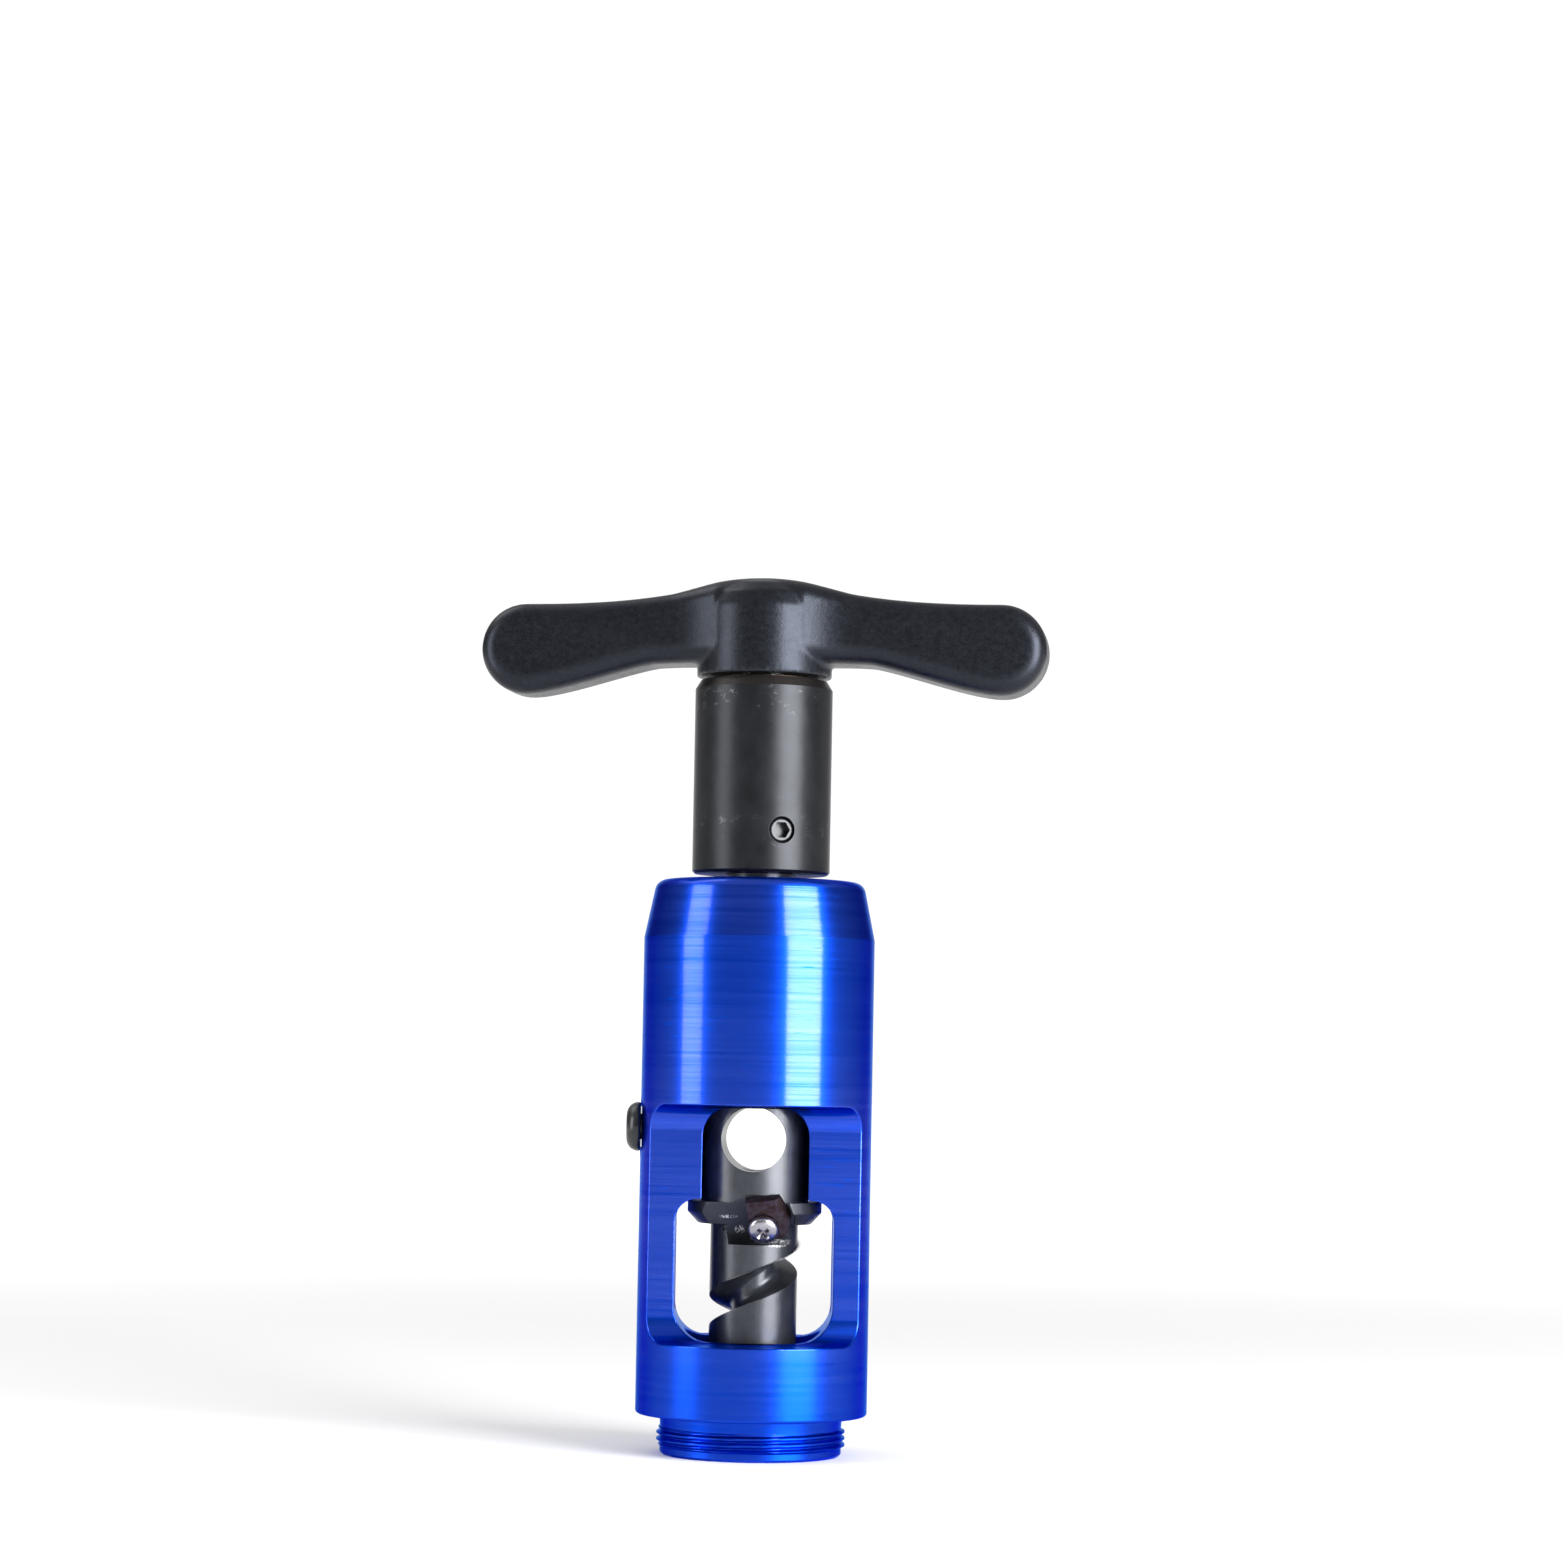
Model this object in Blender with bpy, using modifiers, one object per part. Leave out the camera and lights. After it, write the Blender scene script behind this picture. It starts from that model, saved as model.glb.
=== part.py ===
"""Coring and stripping tool for the end of hardline coaxial cable.

A T-shaped handle turns a tubular aluminium body by way of a steel drive collar. A one-way roller
clutch inside the collar lets the handle swing back freely. The body carries a fluted steel arbor
that cores the foam out of the cable, and a strip blade on the arbor's flange trims the cable end.

Units are metres. The tool stands on its nose: +Z runs up the axis to the handle, and -Y is the
front, where the arbor shows through the window. The origin is the centre of the nose end face.
"""

import math

import bmesh
import bpy
from mathutils import Matrix, Vector

# Fits shared by many pieces.
GAP = 0.0003            # between faces that rest on each other
RUNNING_GAP = 0.00015   # radial, between a shaft and its bore
CUT_MARGIN = 0.001      # how far a cutter runs past the face it opens

# How finely round shapes are divided.
BODY_STEPS = 60
ROUND_STEPS = 40
SMALL_STEPS = 20
ARC_STEPS = 4
MERGE_DISTANCE = 0.000005
SMOOTH_ANGLE = math.radians(32)

# Body: overall size, tapered top and threaded nose.
BODY_RADIUS = 0.0225
BODY_LENGTH = 0.1113
TAPER_LENGTH = 0.0113
TAPER_DEPTH = 0.0023
TOP_EDGE_RADIUS = 0.0023
SHOULDER_HEIGHT = 0.0078
SHOULDER_WIDTH = 0.00395
SHOULDER_EDGE = 0.0006
NECK_LENGTH = 0.0024
THREAD_PITCH = 0.00127
THREAD_TURNS = 3
THREAD_DEPTH = 0.0007
THREAD_RELIEF = 0.00025
PILOT_EDGE = 0.0005

# Flat pockets on the front and back of the body, and the window between them.
POCKET_FLOOR = 0.0095
POCKET_BOTTOM = 0.0219
POCKET_TOP = 0.0676
POCKET_FILLET = 0.005
WINDOW_STEP = 0.0003            # from the pocket's ends to the window's
WINDOW_TOP_STEP = 0.0002        # from the step in the bore to the window's shoulders
WINDOW_HALF_WIDTH = 0.0153
WINDOW_CORNER = 0.0068
WINDOW_SHOULDER_CORNER = 0.0043
CHANNEL_CORNER = 0.0057
CHANNEL_LAP = 0.0002            # of its walls over the arbor, seen from the front

# Arbor: fluted auger, flange, cross-drilled cylinder and shank.
AUGER_RADIUS = 0.0085
AUGER_TIP = 0.0055
AUGER_TIP_CHAMFER = 0.0006
ARBOR_RADIUS = 0.01045
ARBOR_SHOULDER = 0.088
FLANGE_TOP = 0.049
FLANGE_RIM = 0.0026
FLANGE_THICKNESS = 0.0021
FLANGE_BEVEL = (0.00205, 0.0022)
FLANGE_CLEARANCE = 0.00025
SHANK_RADIUS = 0.00635
SHANK_CHAMFER = 0.0008
SHANK_END_GAP = 0.002
CORE_BORE_RADIUS = 0.0025
CROSS_HOLE_RADIUS = 0.00625
CROSS_HOLE_RISE = 0.0121        # of its centre above the flange
CROSS_HOLE_YAW = math.radians(-3.0)

# Helical flute of the auger, right-handed.
FLUTE_PITCH = 0.021
FLUTE_HALF_WIDTH = 0.0032
FLUTE_WALL = 0.0014             # between the flute and the central bore
FLUTE_FLOOR_HALF_WIDTH = 0.00256
FLUTE_FLOOR_RADIUS = 0.0019
FLUTE_FRONT_DROP = 0.0118       # of its middle at the front, below the flange
FLUTE_END_DROP = 0.0035
FLUTE_STEPS_PER_TURN = 32
FLUTE_CORNER_STEPS = 3

# Strip blade, its seat and its screw. Distances along the seat are right, up and out.
SEAT_SIDE = 0.0017
SEAT_DEPTH = 0.0013             # below the auger's surface
SEAT_RISE = 0.0007              # above the flange's lower face
SEAT_TILT = math.radians(32)
SEAT_ROLL = math.radians(9)
SEAT_CUT_HEIGHT = 0.012
LEDGE_DROP = 0.0039             # of the slot's level lower side, below the flange
SEAT_OUTLINE = (
    (-0.0112, 0.0090), (-0.0112, 0.0015), (-0.0072, -0.0015), (-0.0072, -0.0052),
    (0.0050, -0.0052), (0.0064, 0.0010), (0.0048, 0.0090),
)
BLADE_THICKNESS = 0.002
BLADE_OUTLINE = (
    (-0.0026, -0.0030), (0.0042, -0.0030), (0.0058, 0.0010), (0.0040, 0.0060), (-0.0026, 0.0060),
)
BLADE_BEVEL_ANGLE = math.radians(40)
BLADE_BEVEL_START = 0.0032
BLADE_SCREW_RADIUS = 0.0015
BLADE_SCREW_HEAD_RIM = 0.00145
BLADE_SCREW_HEAD_HEIGHT = 0.0019
BLADE_SCREW_HEAD_WALL = 0.00066
BLADE_SCREW_DEPTH = 0.0027
CROSS_RECESS_WIDTH = 0.0008
CROSS_RECESS_LENGTH = 0.0032
CROSS_RECESS_DEPTH = 0.0011
CROSS_RECESS_TURN = math.radians(36)

# Button-head screw that holds the arbor in the body.
RETAINER_RISE = 0.0020          # above the cross hole's centre
RETAINER_RADIUS = 0.0025
RETAINER_HEAD_RIM = 0.0023
RETAINER_HEAD_HEIGHT = 0.00275
RETAINER_FLAT_RIM = 0.0024      # of the head, outside its flat top
RETAINER_SOCKET_RADIUS = 0.0018
RETAINER_SOCKET_DEPTH = 0.0016
RETAINER_ENGAGEMENT = 0.00295
SPOT_FACE_DEPTH = 0.0003
SPOT_FACE_MARGIN = 0.0004

# Drive collar and its set screw.
COLLAR_STANDOFF = 0.0013
COLLAR_WALL = 0.00295
COLLAR_SOCKET_DEPTH = 0.0179
COLLAR_TOP_CHAMFER = (0.00105, 0.00175)
COLLAR_BOTTOM_CHAMFER = 0.0005
COLLAR_RIM = 0.0011             # above the cartridge ring
SET_SCREW_RISE = 0.0081
SET_SCREW_AZIMUTH = math.radians(17)
SET_SCREW_RADIUS = 0.0024
SET_SCREW_RECESS = 0.0005
SET_SCREW_SOCKET_RADIUS = 0.0017
SET_SCREW_SOCKET_DEPTH = 0.0025
SHANK_FLAT_DEPTH = 0.00065
SHANK_FLAT_HEIGHT = 0.009

# One-way roller clutch, bush, washers and rings inside the collar.
STUD_RADIUS = 0.00635
STUD_END_GAP = 0.0007
STUD_TAIL = 0.0007
STUD_RING_GROOVE_DEPTH = 0.00065
STUD_RING_RIM = 0.00205
RING_THICKNESS = 0.0012
RING_SPLIT = 0.004
WASHER_THICKNESS = 0.001
ROLLER_COUNT = 6
ROLLER_RADIUS = 0.0013
ROLLER_GAP = 0.0001
ROLLER_SIDE_GAP = 0.0002
CUP_LENGTH = 0.0109
CUP_WALL = 0.0013
CUP_LIP = 0.0008
CUP_LIP_REACH = 0.0018
CUP_RAMP_RADIUS = 0.0022
CUP_RAMP_DEPTH = 0.00055
CUP_RAMP_SIDE = 0.0006
CAGE_CLEARANCE = 0.00035
CAGE_END_RING = 0.0009
SPRING_STRIP = 0.0002
SPRING_HALF_DEPTH = 0.00085
SPRING_LENGTH = 0.0045
SPRING_WIDTH = 0.0016
BUSH_FLANGE_LENGTH = 0.002
BUSH_DROP = 0.0006              # of the bush's end, below the collar's
BUSH_RING_GAP = 0.0004
SNAP_RING_INNER_REACH = 0.0012
SNAP_RING_OUTER_REACH = 0.0009
TOP_WASHER_THICKNESS = 0.0007

# Handle. It is parked a little off the body's width, as it stops after any stroke.
HANDLE_PARK_ANGLE = math.radians(-8)
HUB_INSET = 0.00025             # from the collar's side
HUB_EDGE = 0.0005
HUB_HEIGHT = 0.019
HUB_DOME = ((0.0070, 0.0001), (0.0034, 0.0011), (0.0010, 0.0030), (0.0, 0.0058))
ARM_HALF_SPAN = 0.0557
ARM_END_RADIUS = 0.0089
ARM_END_RISE = 0.0052
ARM_WAIST = (0.0043, 0.0161)    # outside the hub, above its lower face
ARM_ROOT = (0.0083, 0.0022)
ARM_ROOT_RISE = 0.0025
ARM_THICKNESS = 0.015
ARM_EDGE_RADIUS = 0.004
ARM_CURVE_STEPS = 6
QUARTER_CIRCLE_HANDLE = 0.5523  # times its radius, for a curve's quarter circle
# From a point of the arms' outline to the handles before and after it, clockwise.
CREST_HANDLES = ((-0.0065, 0.0), (0.0065, 0.0))
WAIST_HANDLES = ((-0.0075, 0.0019), (0.0095, -0.0016))
END_TOP_HANDLE = (-0.0110, 0.0)
END_BOTTOM_HANDLE = (-0.0060, 0.0)
ROOT_HANDLES = ((0.0060, -0.0010), (-0.0060, 0.0004))
INSERT_RISE = 0.002
INSERT_HEIGHT = 0.0100
INSERT_RIM = 0.00215

# Worked out from the sizes above, from the nose up.
NECK_RADIUS = BODY_RADIUS - SHOULDER_WIDTH
THREAD_TOP = SHOULDER_HEIGHT - NECK_LENGTH
THREAD_CREST_RADIUS = NECK_RADIUS - THREAD_RELIEF
THREAD_ROOT_RADIUS = THREAD_CREST_RADIUS - THREAD_DEPTH
FLANGE_RADIUS = ARBOR_RADIUS + FLANGE_RIM
FLANGE_EDGE = FLANGE_TOP - FLANGE_THICKNESS
FLANGE_BOTTOM = FLANGE_EDGE - FLANGE_BEVEL[1]
NOSE_BORE_RADIUS = FLANGE_RADIUS + FLANGE_CLEARANCE
CHANNEL_HALF_WIDTH = ARBOR_RADIUS - CHANNEL_LAP
CROSS_HOLE_HEIGHT = FLANGE_TOP + CROSS_HOLE_RISE
SEAT_POINT = (SEAT_SIDE, SEAT_DEPTH - AUGER_RADIUS, FLANGE_BOTTOM + SEAT_RISE)
RETAINER_HEIGHT = CROSS_HOLE_HEIGHT + RETAINER_RISE
RETAINER_SEAT = BODY_RADIUS - SPOT_FACE_DEPTH
RETAINER_HEAD_RADIUS = RETAINER_RADIUS + RETAINER_HEAD_RIM
RETAINER_TIP = ARBOR_RADIUS - RETAINER_ENGAGEMENT
COLLAR_BOTTOM = BODY_LENGTH + COLLAR_STANDOFF
CARTRIDGE_FLOOR = COLLAR_BOTTOM + COLLAR_SOCKET_DEPTH
SHANK_TOP = CARTRIDGE_FLOOR - SHANK_END_GAP
SET_SCREW_HEIGHT = COLLAR_BOTTOM + SET_SCREW_RISE
SHANK_FLAT = SHANK_RADIUS - SHANK_FLAT_DEPTH

# Worked out for the clutch, from the stud outwards.
ROLLER_PITCH_RADIUS = STUD_RADIUS + ROLLER_GAP + ROLLER_RADIUS
CUP_INNER_RADIUS = ROLLER_PITCH_RADIUS + ROLLER_RADIUS + RUNNING_GAP
CARTRIDGE_RADIUS = CUP_INNER_RADIUS + CUP_WALL
COLLAR_RADIUS = CARTRIDGE_RADIUS + COLLAR_WALL
CAGE_INNER_RADIUS = STUD_RADIUS + GAP
CAGE_OUTER_RADIUS = CUP_INNER_RADIUS - CAGE_CLEARANCE
CAGE_WINDOW_WIDTH = 2 * (ROLLER_RADIUS + ROLLER_SIDE_GAP) + SPRING_WIDTH + GAP
ROLLER_OFFSET = ROLLER_RADIUS + ROLLER_SIDE_GAP - CAGE_WINDOW_WIDTH / 2

# Worked out for the clutch and the handle, from the collar's inner step up.
STUD_BOTTOM = CARTRIDGE_FLOOR + STUD_END_GAP
STUD_RING_BOTTOM = STUD_BOTTOM + STUD_TAIL
LOWER_WASHER_BOTTOM = STUD_RING_BOTTOM + RING_THICKNESS + GAP
CUP_BOTTOM = LOWER_WASHER_BOTTOM + WASHER_THICKNESS + GAP
CUP_TOP = CUP_BOTTOM + CUP_LENGTH
CAGE_BOTTOM = CUP_BOTTOM + CUP_LIP + GAP
CAGE_TOP = CUP_TOP - CUP_LIP - GAP
BUSH_BOTTOM = CUP_TOP + GAP
SNAP_RING_BOTTOM = BUSH_BOTTOM + BUSH_FLANGE_LENGTH + GAP
COLLAR_TOP = SNAP_RING_BOTTOM + RING_THICKNESS + COLLAR_RIM
BUSH_TOP = COLLAR_TOP - BUSH_DROP
UPPER_WASHER_BOTTOM = BUSH_TOP + GAP
HUB_BOTTOM = UPPER_WASHER_BOTTOM + TOP_WASHER_THICKNESS + GAP
HUB_RADIUS = COLLAR_RADIUS - HUB_INSET
HANDLE_TOP = HUB_BOTTOM + HUB_HEIGHT
INSERT_BOTTOM = HUB_BOTTOM + INSERT_RISE
INSERT_RADIUS = STUD_RADIUS + INSERT_RIM

UP = Vector((0.0, 0.0, 1.0))
FACING_FRONT = (math.pi / 2, 0.0, 0.0)
ALONG_X = (math.pi / 2, 0.0, math.pi / 2)


def clear_scene():
    """Remove every object from the scene."""
    for obj in list(bpy.data.objects):
        bpy.data.objects.remove(obj, do_unlink=True)


def new_collection(name):
    """Return a new collection linked to the scene."""
    collection = bpy.data.collections.new(name)
    bpy.context.scene.collection.children.link(collection)
    return collection


def new_material(name, colour, roughness, metallic):
    """Return a Principled material with one colour."""
    material = bpy.data.materials.new(name)
    material.use_nodes = True
    shader = material.node_tree.nodes["Principled BSDF"]
    shader.inputs["Base Color"].default_value = (*colour, 1.0)
    shader.inputs["Roughness"].default_value = roughness
    shader.inputs["Metallic"].default_value = metallic
    material.diffuse_color = (*colour, 1.0)
    return material


def blue_anodised():
    """Aluminium body finish."""
    return new_material("blue_anodised", (0.0, 0.065, 0.48), 0.28, 0.9)


def black_oxide():
    """Blackened steel of the arbor and the screws."""
    return new_material("black_oxide", (0.035, 0.037, 0.042), 0.35, 0.85)


def collar_steel():
    """Duller blue-grey blackened steel of the drive collar."""
    return new_material("collar_steel", (0.055, 0.06, 0.07), 0.42, 0.8)


def black_nylon():
    """Glass-filled nylon of the handle."""
    return new_material("black_nylon", (0.02, 0.021, 0.024), 0.5, 0.0)


def blade_steel():
    """Brown-black heat-treated blade steel."""
    return new_material("blade_steel", (0.06, 0.04, 0.04), 0.4, 0.7)


def bright_steel():
    """Bare hardened steel of the clutch, stud and rings."""
    return new_material("bright_steel", (0.62, 0.63, 0.65), 0.25, 1.0)


def bronze():
    """Sintered bronze of the bush and washers."""
    return new_material("bronze", (0.56, 0.38, 0.18), 0.45, 1.0)


def cage_nylon():
    """Pale nylon of the roller cage."""
    return new_material("cage_nylon", (0.75, 0.72, 0.62), 0.5, 0.0)


class Workshop:
    """Keeps the collections and makes the basic shapes."""

    def __init__(self, object_name):
        self.parts = new_collection(object_name)
        self.cutters = new_collection("cutters")

    def place(self, name, mesh, material, location, rotation, parent):
        """Wrap a mesh in an object. Without a material it is a cutter."""
        obj = bpy.data.objects.new(name, mesh)
        if material is None:
            self.cutters.objects.link(obj)
            obj.hide_render = True
            obj.display_type = "WIRE"
        else:
            self.parts.objects.link(obj)
            mesh.materials.append(material)
        obj.location = location
        obj.rotation_euler = rotation
        obj.parent = parent
        return obj

    def turned(self, name, profile, material=None, steps=ROUND_STEPS, ring=False,
               location=(0, 0, 0), rotation=(0, 0, 0), parent=None):
        """Turn a profile of (radius, height) points that runs down its outer side."""
        mesh = bpy.data.meshes.new(name)
        count = len(profile)
        edges = [(index, index + 1) for index in range(count - 1)]
        if ring:
            edges.append((count - 1, 0))
        mesh.from_pydata([(radius, 0, height) for radius, height in profile], edges, [])
        obj = self.place(name, mesh, material, location, rotation, parent)
        screw = obj.modifiers.new("turn", "SCREW")
        screw.steps = steps
        screw.render_steps = steps
        screw.use_merge_vertices = True
        screw.merge_threshold = MERGE_DISTANCE
        return obj

    def rod(self, name, radius, bottom, top, material=None, sides=SMALL_STEPS,
            location=(0, 0, 0), rotation=(0, 0, 0), parent=None):
        """Make a cylinder or prism between two heights on its own axis."""
        shape = bmesh.new()
        bmesh.ops.create_cone(
            shape, cap_ends=True, segments=sides, radius1=radius, radius2=radius,
            depth=top - bottom, matrix=Matrix.Translation(UP * (bottom + top) / 2))
        return self.from_bmesh(name, shape, material, location, rotation, parent)

    def box(self, name, size, material=None, location=(0, 0, 0), rotation=(0, 0, 0), parent=None):
        """Make a box centred on its own origin."""
        shape = bmesh.new()
        bmesh.ops.create_cube(shape, size=1.0, matrix=Matrix.Diagonal((*size, 1.0)))
        return self.from_bmesh(name, shape, material, location, rotation, parent)

    def from_bmesh(self, name, shape, material, location, rotation, parent):
        """Turn a bmesh into an object and free it."""
        mesh = bpy.data.meshes.new(name)
        shape.to_mesh(mesh)
        shape.free()
        return self.place(name, mesh, material, location, rotation, parent)

    def plate(self, name, splines, thickness, material=None, edge_radius=0.0,
              location=(0, 0, 0), rotation=(0, 0, 0), parent=None):
        """Make a flat plate from a filled 2D curve, as thick each side of its own XY plane."""
        curve = bpy.data.curves.new(name, "CURVE")
        curve.dimensions = "2D"
        curve.fill_mode = "BOTH"
        curve.extrude = thickness / 2 - edge_radius
        curve.bevel_depth = edge_radius
        curve.offset = -edge_radius
        curve.bevel_resolution = 2
        curve.resolution_u = ARM_CURVE_STEPS
        splines(curve)
        drawn = bpy.data.objects.new(name + "_outline", curve)
        self.cutters.objects.link(drawn)
        bpy.context.view_layer.update()
        mesh = bpy.data.meshes.new_from_object(
            drawn.evaluated_get(bpy.context.evaluated_depsgraph_get()))
        bpy.data.objects.remove(drawn, do_unlink=True)
        shape = bmesh.new()
        shape.from_mesh(mesh)
        bmesh.ops.remove_doubles(shape, verts=shape.verts, dist=MERGE_DISTANCE)
        bmesh.ops.recalc_face_normals(shape, faces=shape.faces)
        shape.to_mesh(mesh)
        shape.free()
        mesh.name = name
        mesh.materials.clear()
        return self.place(name, mesh, material, location, rotation, parent)

    def prism(self, name, outline, thickness, **where):
        """Make a plate from a closed outline of points."""
        def draw(curve):
            spline = curve.splines.new("POLY")
            spline.points.add(len(outline) - 1)
            for point, (x, y) in zip(spline.points, outline):
                point.co = (x, y, 0.0, 1.0)
            spline.use_cyclic_u = True
        return self.plate(name, draw, thickness, **where)


def combine(target, tool, operation="DIFFERENCE"):
    """Cut a tool from a target, or join it to the target."""
    modifier = target.modifiers.new(tool.name, "BOOLEAN")
    modifier.operation = operation
    modifier.object = tool
    modifier.solver = "EXACT"


def rounded(corners, steps=ARC_STEPS):
    """Return a polygon's points with each corner (x, y, radius) rounded by an arc."""
    points = []
    for index, (x, y, radius) in enumerate(corners):
        corner = Vector((x, y))
        if radius == 0:
            points.append((x, y))
            continue
        before = (Vector(corners[index - 1][:2]) - corner).normalized()
        after = (Vector(corners[(index + 1) % len(corners)][:2]) - corner).normalized()
        half_angle = before.angle(after) / 2
        centre = corner + (before + after).normalized() * radius / math.sin(half_angle)
        start = corner + before * radius / math.tan(half_angle) - centre
        end = corner + after * radius / math.tan(half_angle) - centre
        first = math.atan2(start.y, start.x)
        sweep = (math.atan2(end.y, end.x) - first + math.pi) % math.tau - math.pi
        for step in range(steps + 1):
            angle = first + sweep * step / steps
            spoke = Vector((math.cos(angle), math.sin(angle)))
            points.append(tuple(centre + spoke * radius))
    return points


def ring_profile(inner, outer, bottom, top):
    """Return the profile of a plain ring."""
    return [(outer, top), (outer, bottom), (inner, bottom), (inner, top)]


def shade(parts):
    """Shade every piece smooth, with its edges sharp."""
    for obj in parts.objects:
        if obj.type != "MESH":
            continue
        for modifier in obj.modifiers:
            if modifier.type == "SCREW":
                modifier.use_smooth_shade = True
        obj.data.shade_smooth()
        if obj.data.polygons:
            obj.data.set_sharp_from_angle(angle=SMOOTH_ANGLE)


def thread_profile():
    """Return the nose thread's flanks as rings, from its top down."""
    points = []
    crest_half = THREAD_PITCH / 8
    for turn in range(THREAD_TURNS):
        top = THREAD_TOP - turn * THREAD_PITCH
        middle = top - THREAD_PITCH / 2
        points.append((THREAD_ROOT_RADIUS, top - crest_half))
        points.append((THREAD_CREST_RADIUS, middle + crest_half))
        points.append((THREAD_CREST_RADIUS, middle - crest_half))
    return points


def make_housing(shop, material):
    """Body: turned tube with a threaded nose, two flat pockets and stepped windows."""
    shank_bore = SHANK_RADIUS + GAP
    upper_bore = ARBOR_RADIUS + RUNNING_GAP
    step_height = FLANGE_TOP + GAP
    outer = [
        (shank_bore, BODY_LENGTH, 0),
        (BODY_RADIUS - TAPER_DEPTH, BODY_LENGTH, TOP_EDGE_RADIUS),
        (BODY_RADIUS, BODY_LENGTH - TAPER_LENGTH, 0),
        (BODY_RADIUS, SHOULDER_HEIGHT, SHOULDER_EDGE),
        (NECK_RADIUS, SHOULDER_HEIGHT, 0),
        (NECK_RADIUS, THREAD_TOP, 0),
    ]
    outer += [(radius, height, 0) for radius, height in thread_profile()]
    outer += [
        (THREAD_ROOT_RADIUS, THREAD_TOP - THREAD_TURNS * THREAD_PITCH, 0),
        (THREAD_ROOT_RADIUS, 0, PILOT_EDGE),
        (NOSE_BORE_RADIUS, 0, 0),
        (NOSE_BORE_RADIUS, step_height, 0),
        (upper_bore, step_height, 0),
        (upper_bore, ARBOR_SHOULDER + GAP, 0),
        (shank_bore, ARBOR_SHOULDER + GAP, 0),
    ]
    housing = shop.turned("housing", rounded(outer), material, steps=BODY_STEPS, ring=True)

    reach = BODY_RADIUS + CUT_MARGIN
    pocket_outline = rounded([
        (POCKET_FLOOR, POCKET_BOTTOM, POCKET_FILLET),
        (reach, POCKET_BOTTOM, 0),
        (reach, POCKET_TOP, 0),
        (POCKET_FLOOR, POCKET_TOP, POCKET_FILLET),
    ])
    for side, name in ((-1, "front"), (1, "back")):
        outline = [(side * y, z) for y, z in pocket_outline]
        combine(housing, shop.prism("pocket_" + name, outline, 2 * reach, rotation=ALONG_X))

    window_bottom = POCKET_BOTTOM + WINDOW_STEP
    window_top = step_height + WINDOW_TOP_STEP
    channel_top = POCKET_TOP - WINDOW_STEP
    window_outline = rounded([
        (-WINDOW_HALF_WIDTH, window_bottom, WINDOW_CORNER),
        (WINDOW_HALF_WIDTH, window_bottom, WINDOW_CORNER),
        (WINDOW_HALF_WIDTH, window_top, WINDOW_SHOULDER_CORNER),
        (CHANNEL_HALF_WIDTH, window_top, 0),
        (CHANNEL_HALF_WIDTH, channel_top, CHANNEL_CORNER),
        (-CHANNEL_HALF_WIDTH, channel_top, CHANNEL_CORNER),
        (-CHANNEL_HALF_WIDTH, window_top, 0),
        (-WINDOW_HALF_WIDTH, window_top, WINDOW_SHOULDER_CORNER),
    ])
    combine(housing, shop.prism("window", window_outline, 2 * reach, rotation=FACING_FRONT))

    face_left = (0, -math.pi / 2, 0)
    combine(housing, shop.rod("retainer_spot_face", RETAINER_HEAD_RADIUS + SPOT_FACE_MARGIN,
                              RETAINER_SEAT, reach,
                              location=(0, 0, RETAINER_HEIGHT), rotation=face_left))
    combine(housing, shop.rod("retainer_body_hole", RETAINER_RADIUS + RUNNING_GAP,
                              ARBOR_RADIUS / 2, RETAINER_SEAT + CUT_MARGIN,
                              location=(0, 0, RETAINER_HEIGHT), rotation=face_left))
    return housing


def flute_cutter(shop):
    """Sweep the flute's section up the auger as a right-hand helix and close its ends."""
    start = AUGER_TIP - FLUTE_HALF_WIDTH - CUT_MARGIN
    front_height = FLANGE_BOTTOM - FLUTE_FRONT_DROP
    start_angle = (start - front_height) / FLUTE_PITCH * math.tau - math.pi / 2
    turns = (FLANGE_BOTTOM - FLUTE_END_DROP - start) / FLUTE_PITCH
    mouth = AUGER_RADIUS + CUT_MARGIN
    core = CORE_BORE_RADIUS + FLUTE_WALL
    section = rounded([
        (mouth, start + FLUTE_HALF_WIDTH, 0),
        (mouth, start - FLUTE_HALF_WIDTH, 0),
        (core, start - FLUTE_FLOOR_HALF_WIDTH, FLUTE_FLOOR_RADIUS),
        (core, start + FLUTE_FLOOR_HALF_WIDTH, FLUTE_FLOOR_RADIUS),
    ], steps=FLUTE_CORNER_STEPS)
    cutter = shop.turned("flute", section, steps=round(FLUTE_STEPS_PER_TURN * turns), ring=True,
                         rotation=(0, 0, start_angle))
    sweep = cutter.modifiers["turn"]
    sweep.angle = turns * math.tau
    sweep.screw_offset = turns * FLUTE_PITCH
    bpy.context.view_layer.update()
    mesh = bpy.data.meshes.new_from_object(
        cutter.evaluated_get(bpy.context.evaluated_depsgraph_get()))
    shape = bmesh.new()
    shape.from_mesh(mesh)
    bmesh.ops.holes_fill(shape, edges=[edge for edge in shape.edges if edge.is_boundary])
    bmesh.ops.recalc_face_normals(shape, faces=shape.faces)
    shape.to_mesh(mesh)
    shape.free()
    cutter.modifiers.clear()
    cutter.data = mesh
    return cutter


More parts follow.
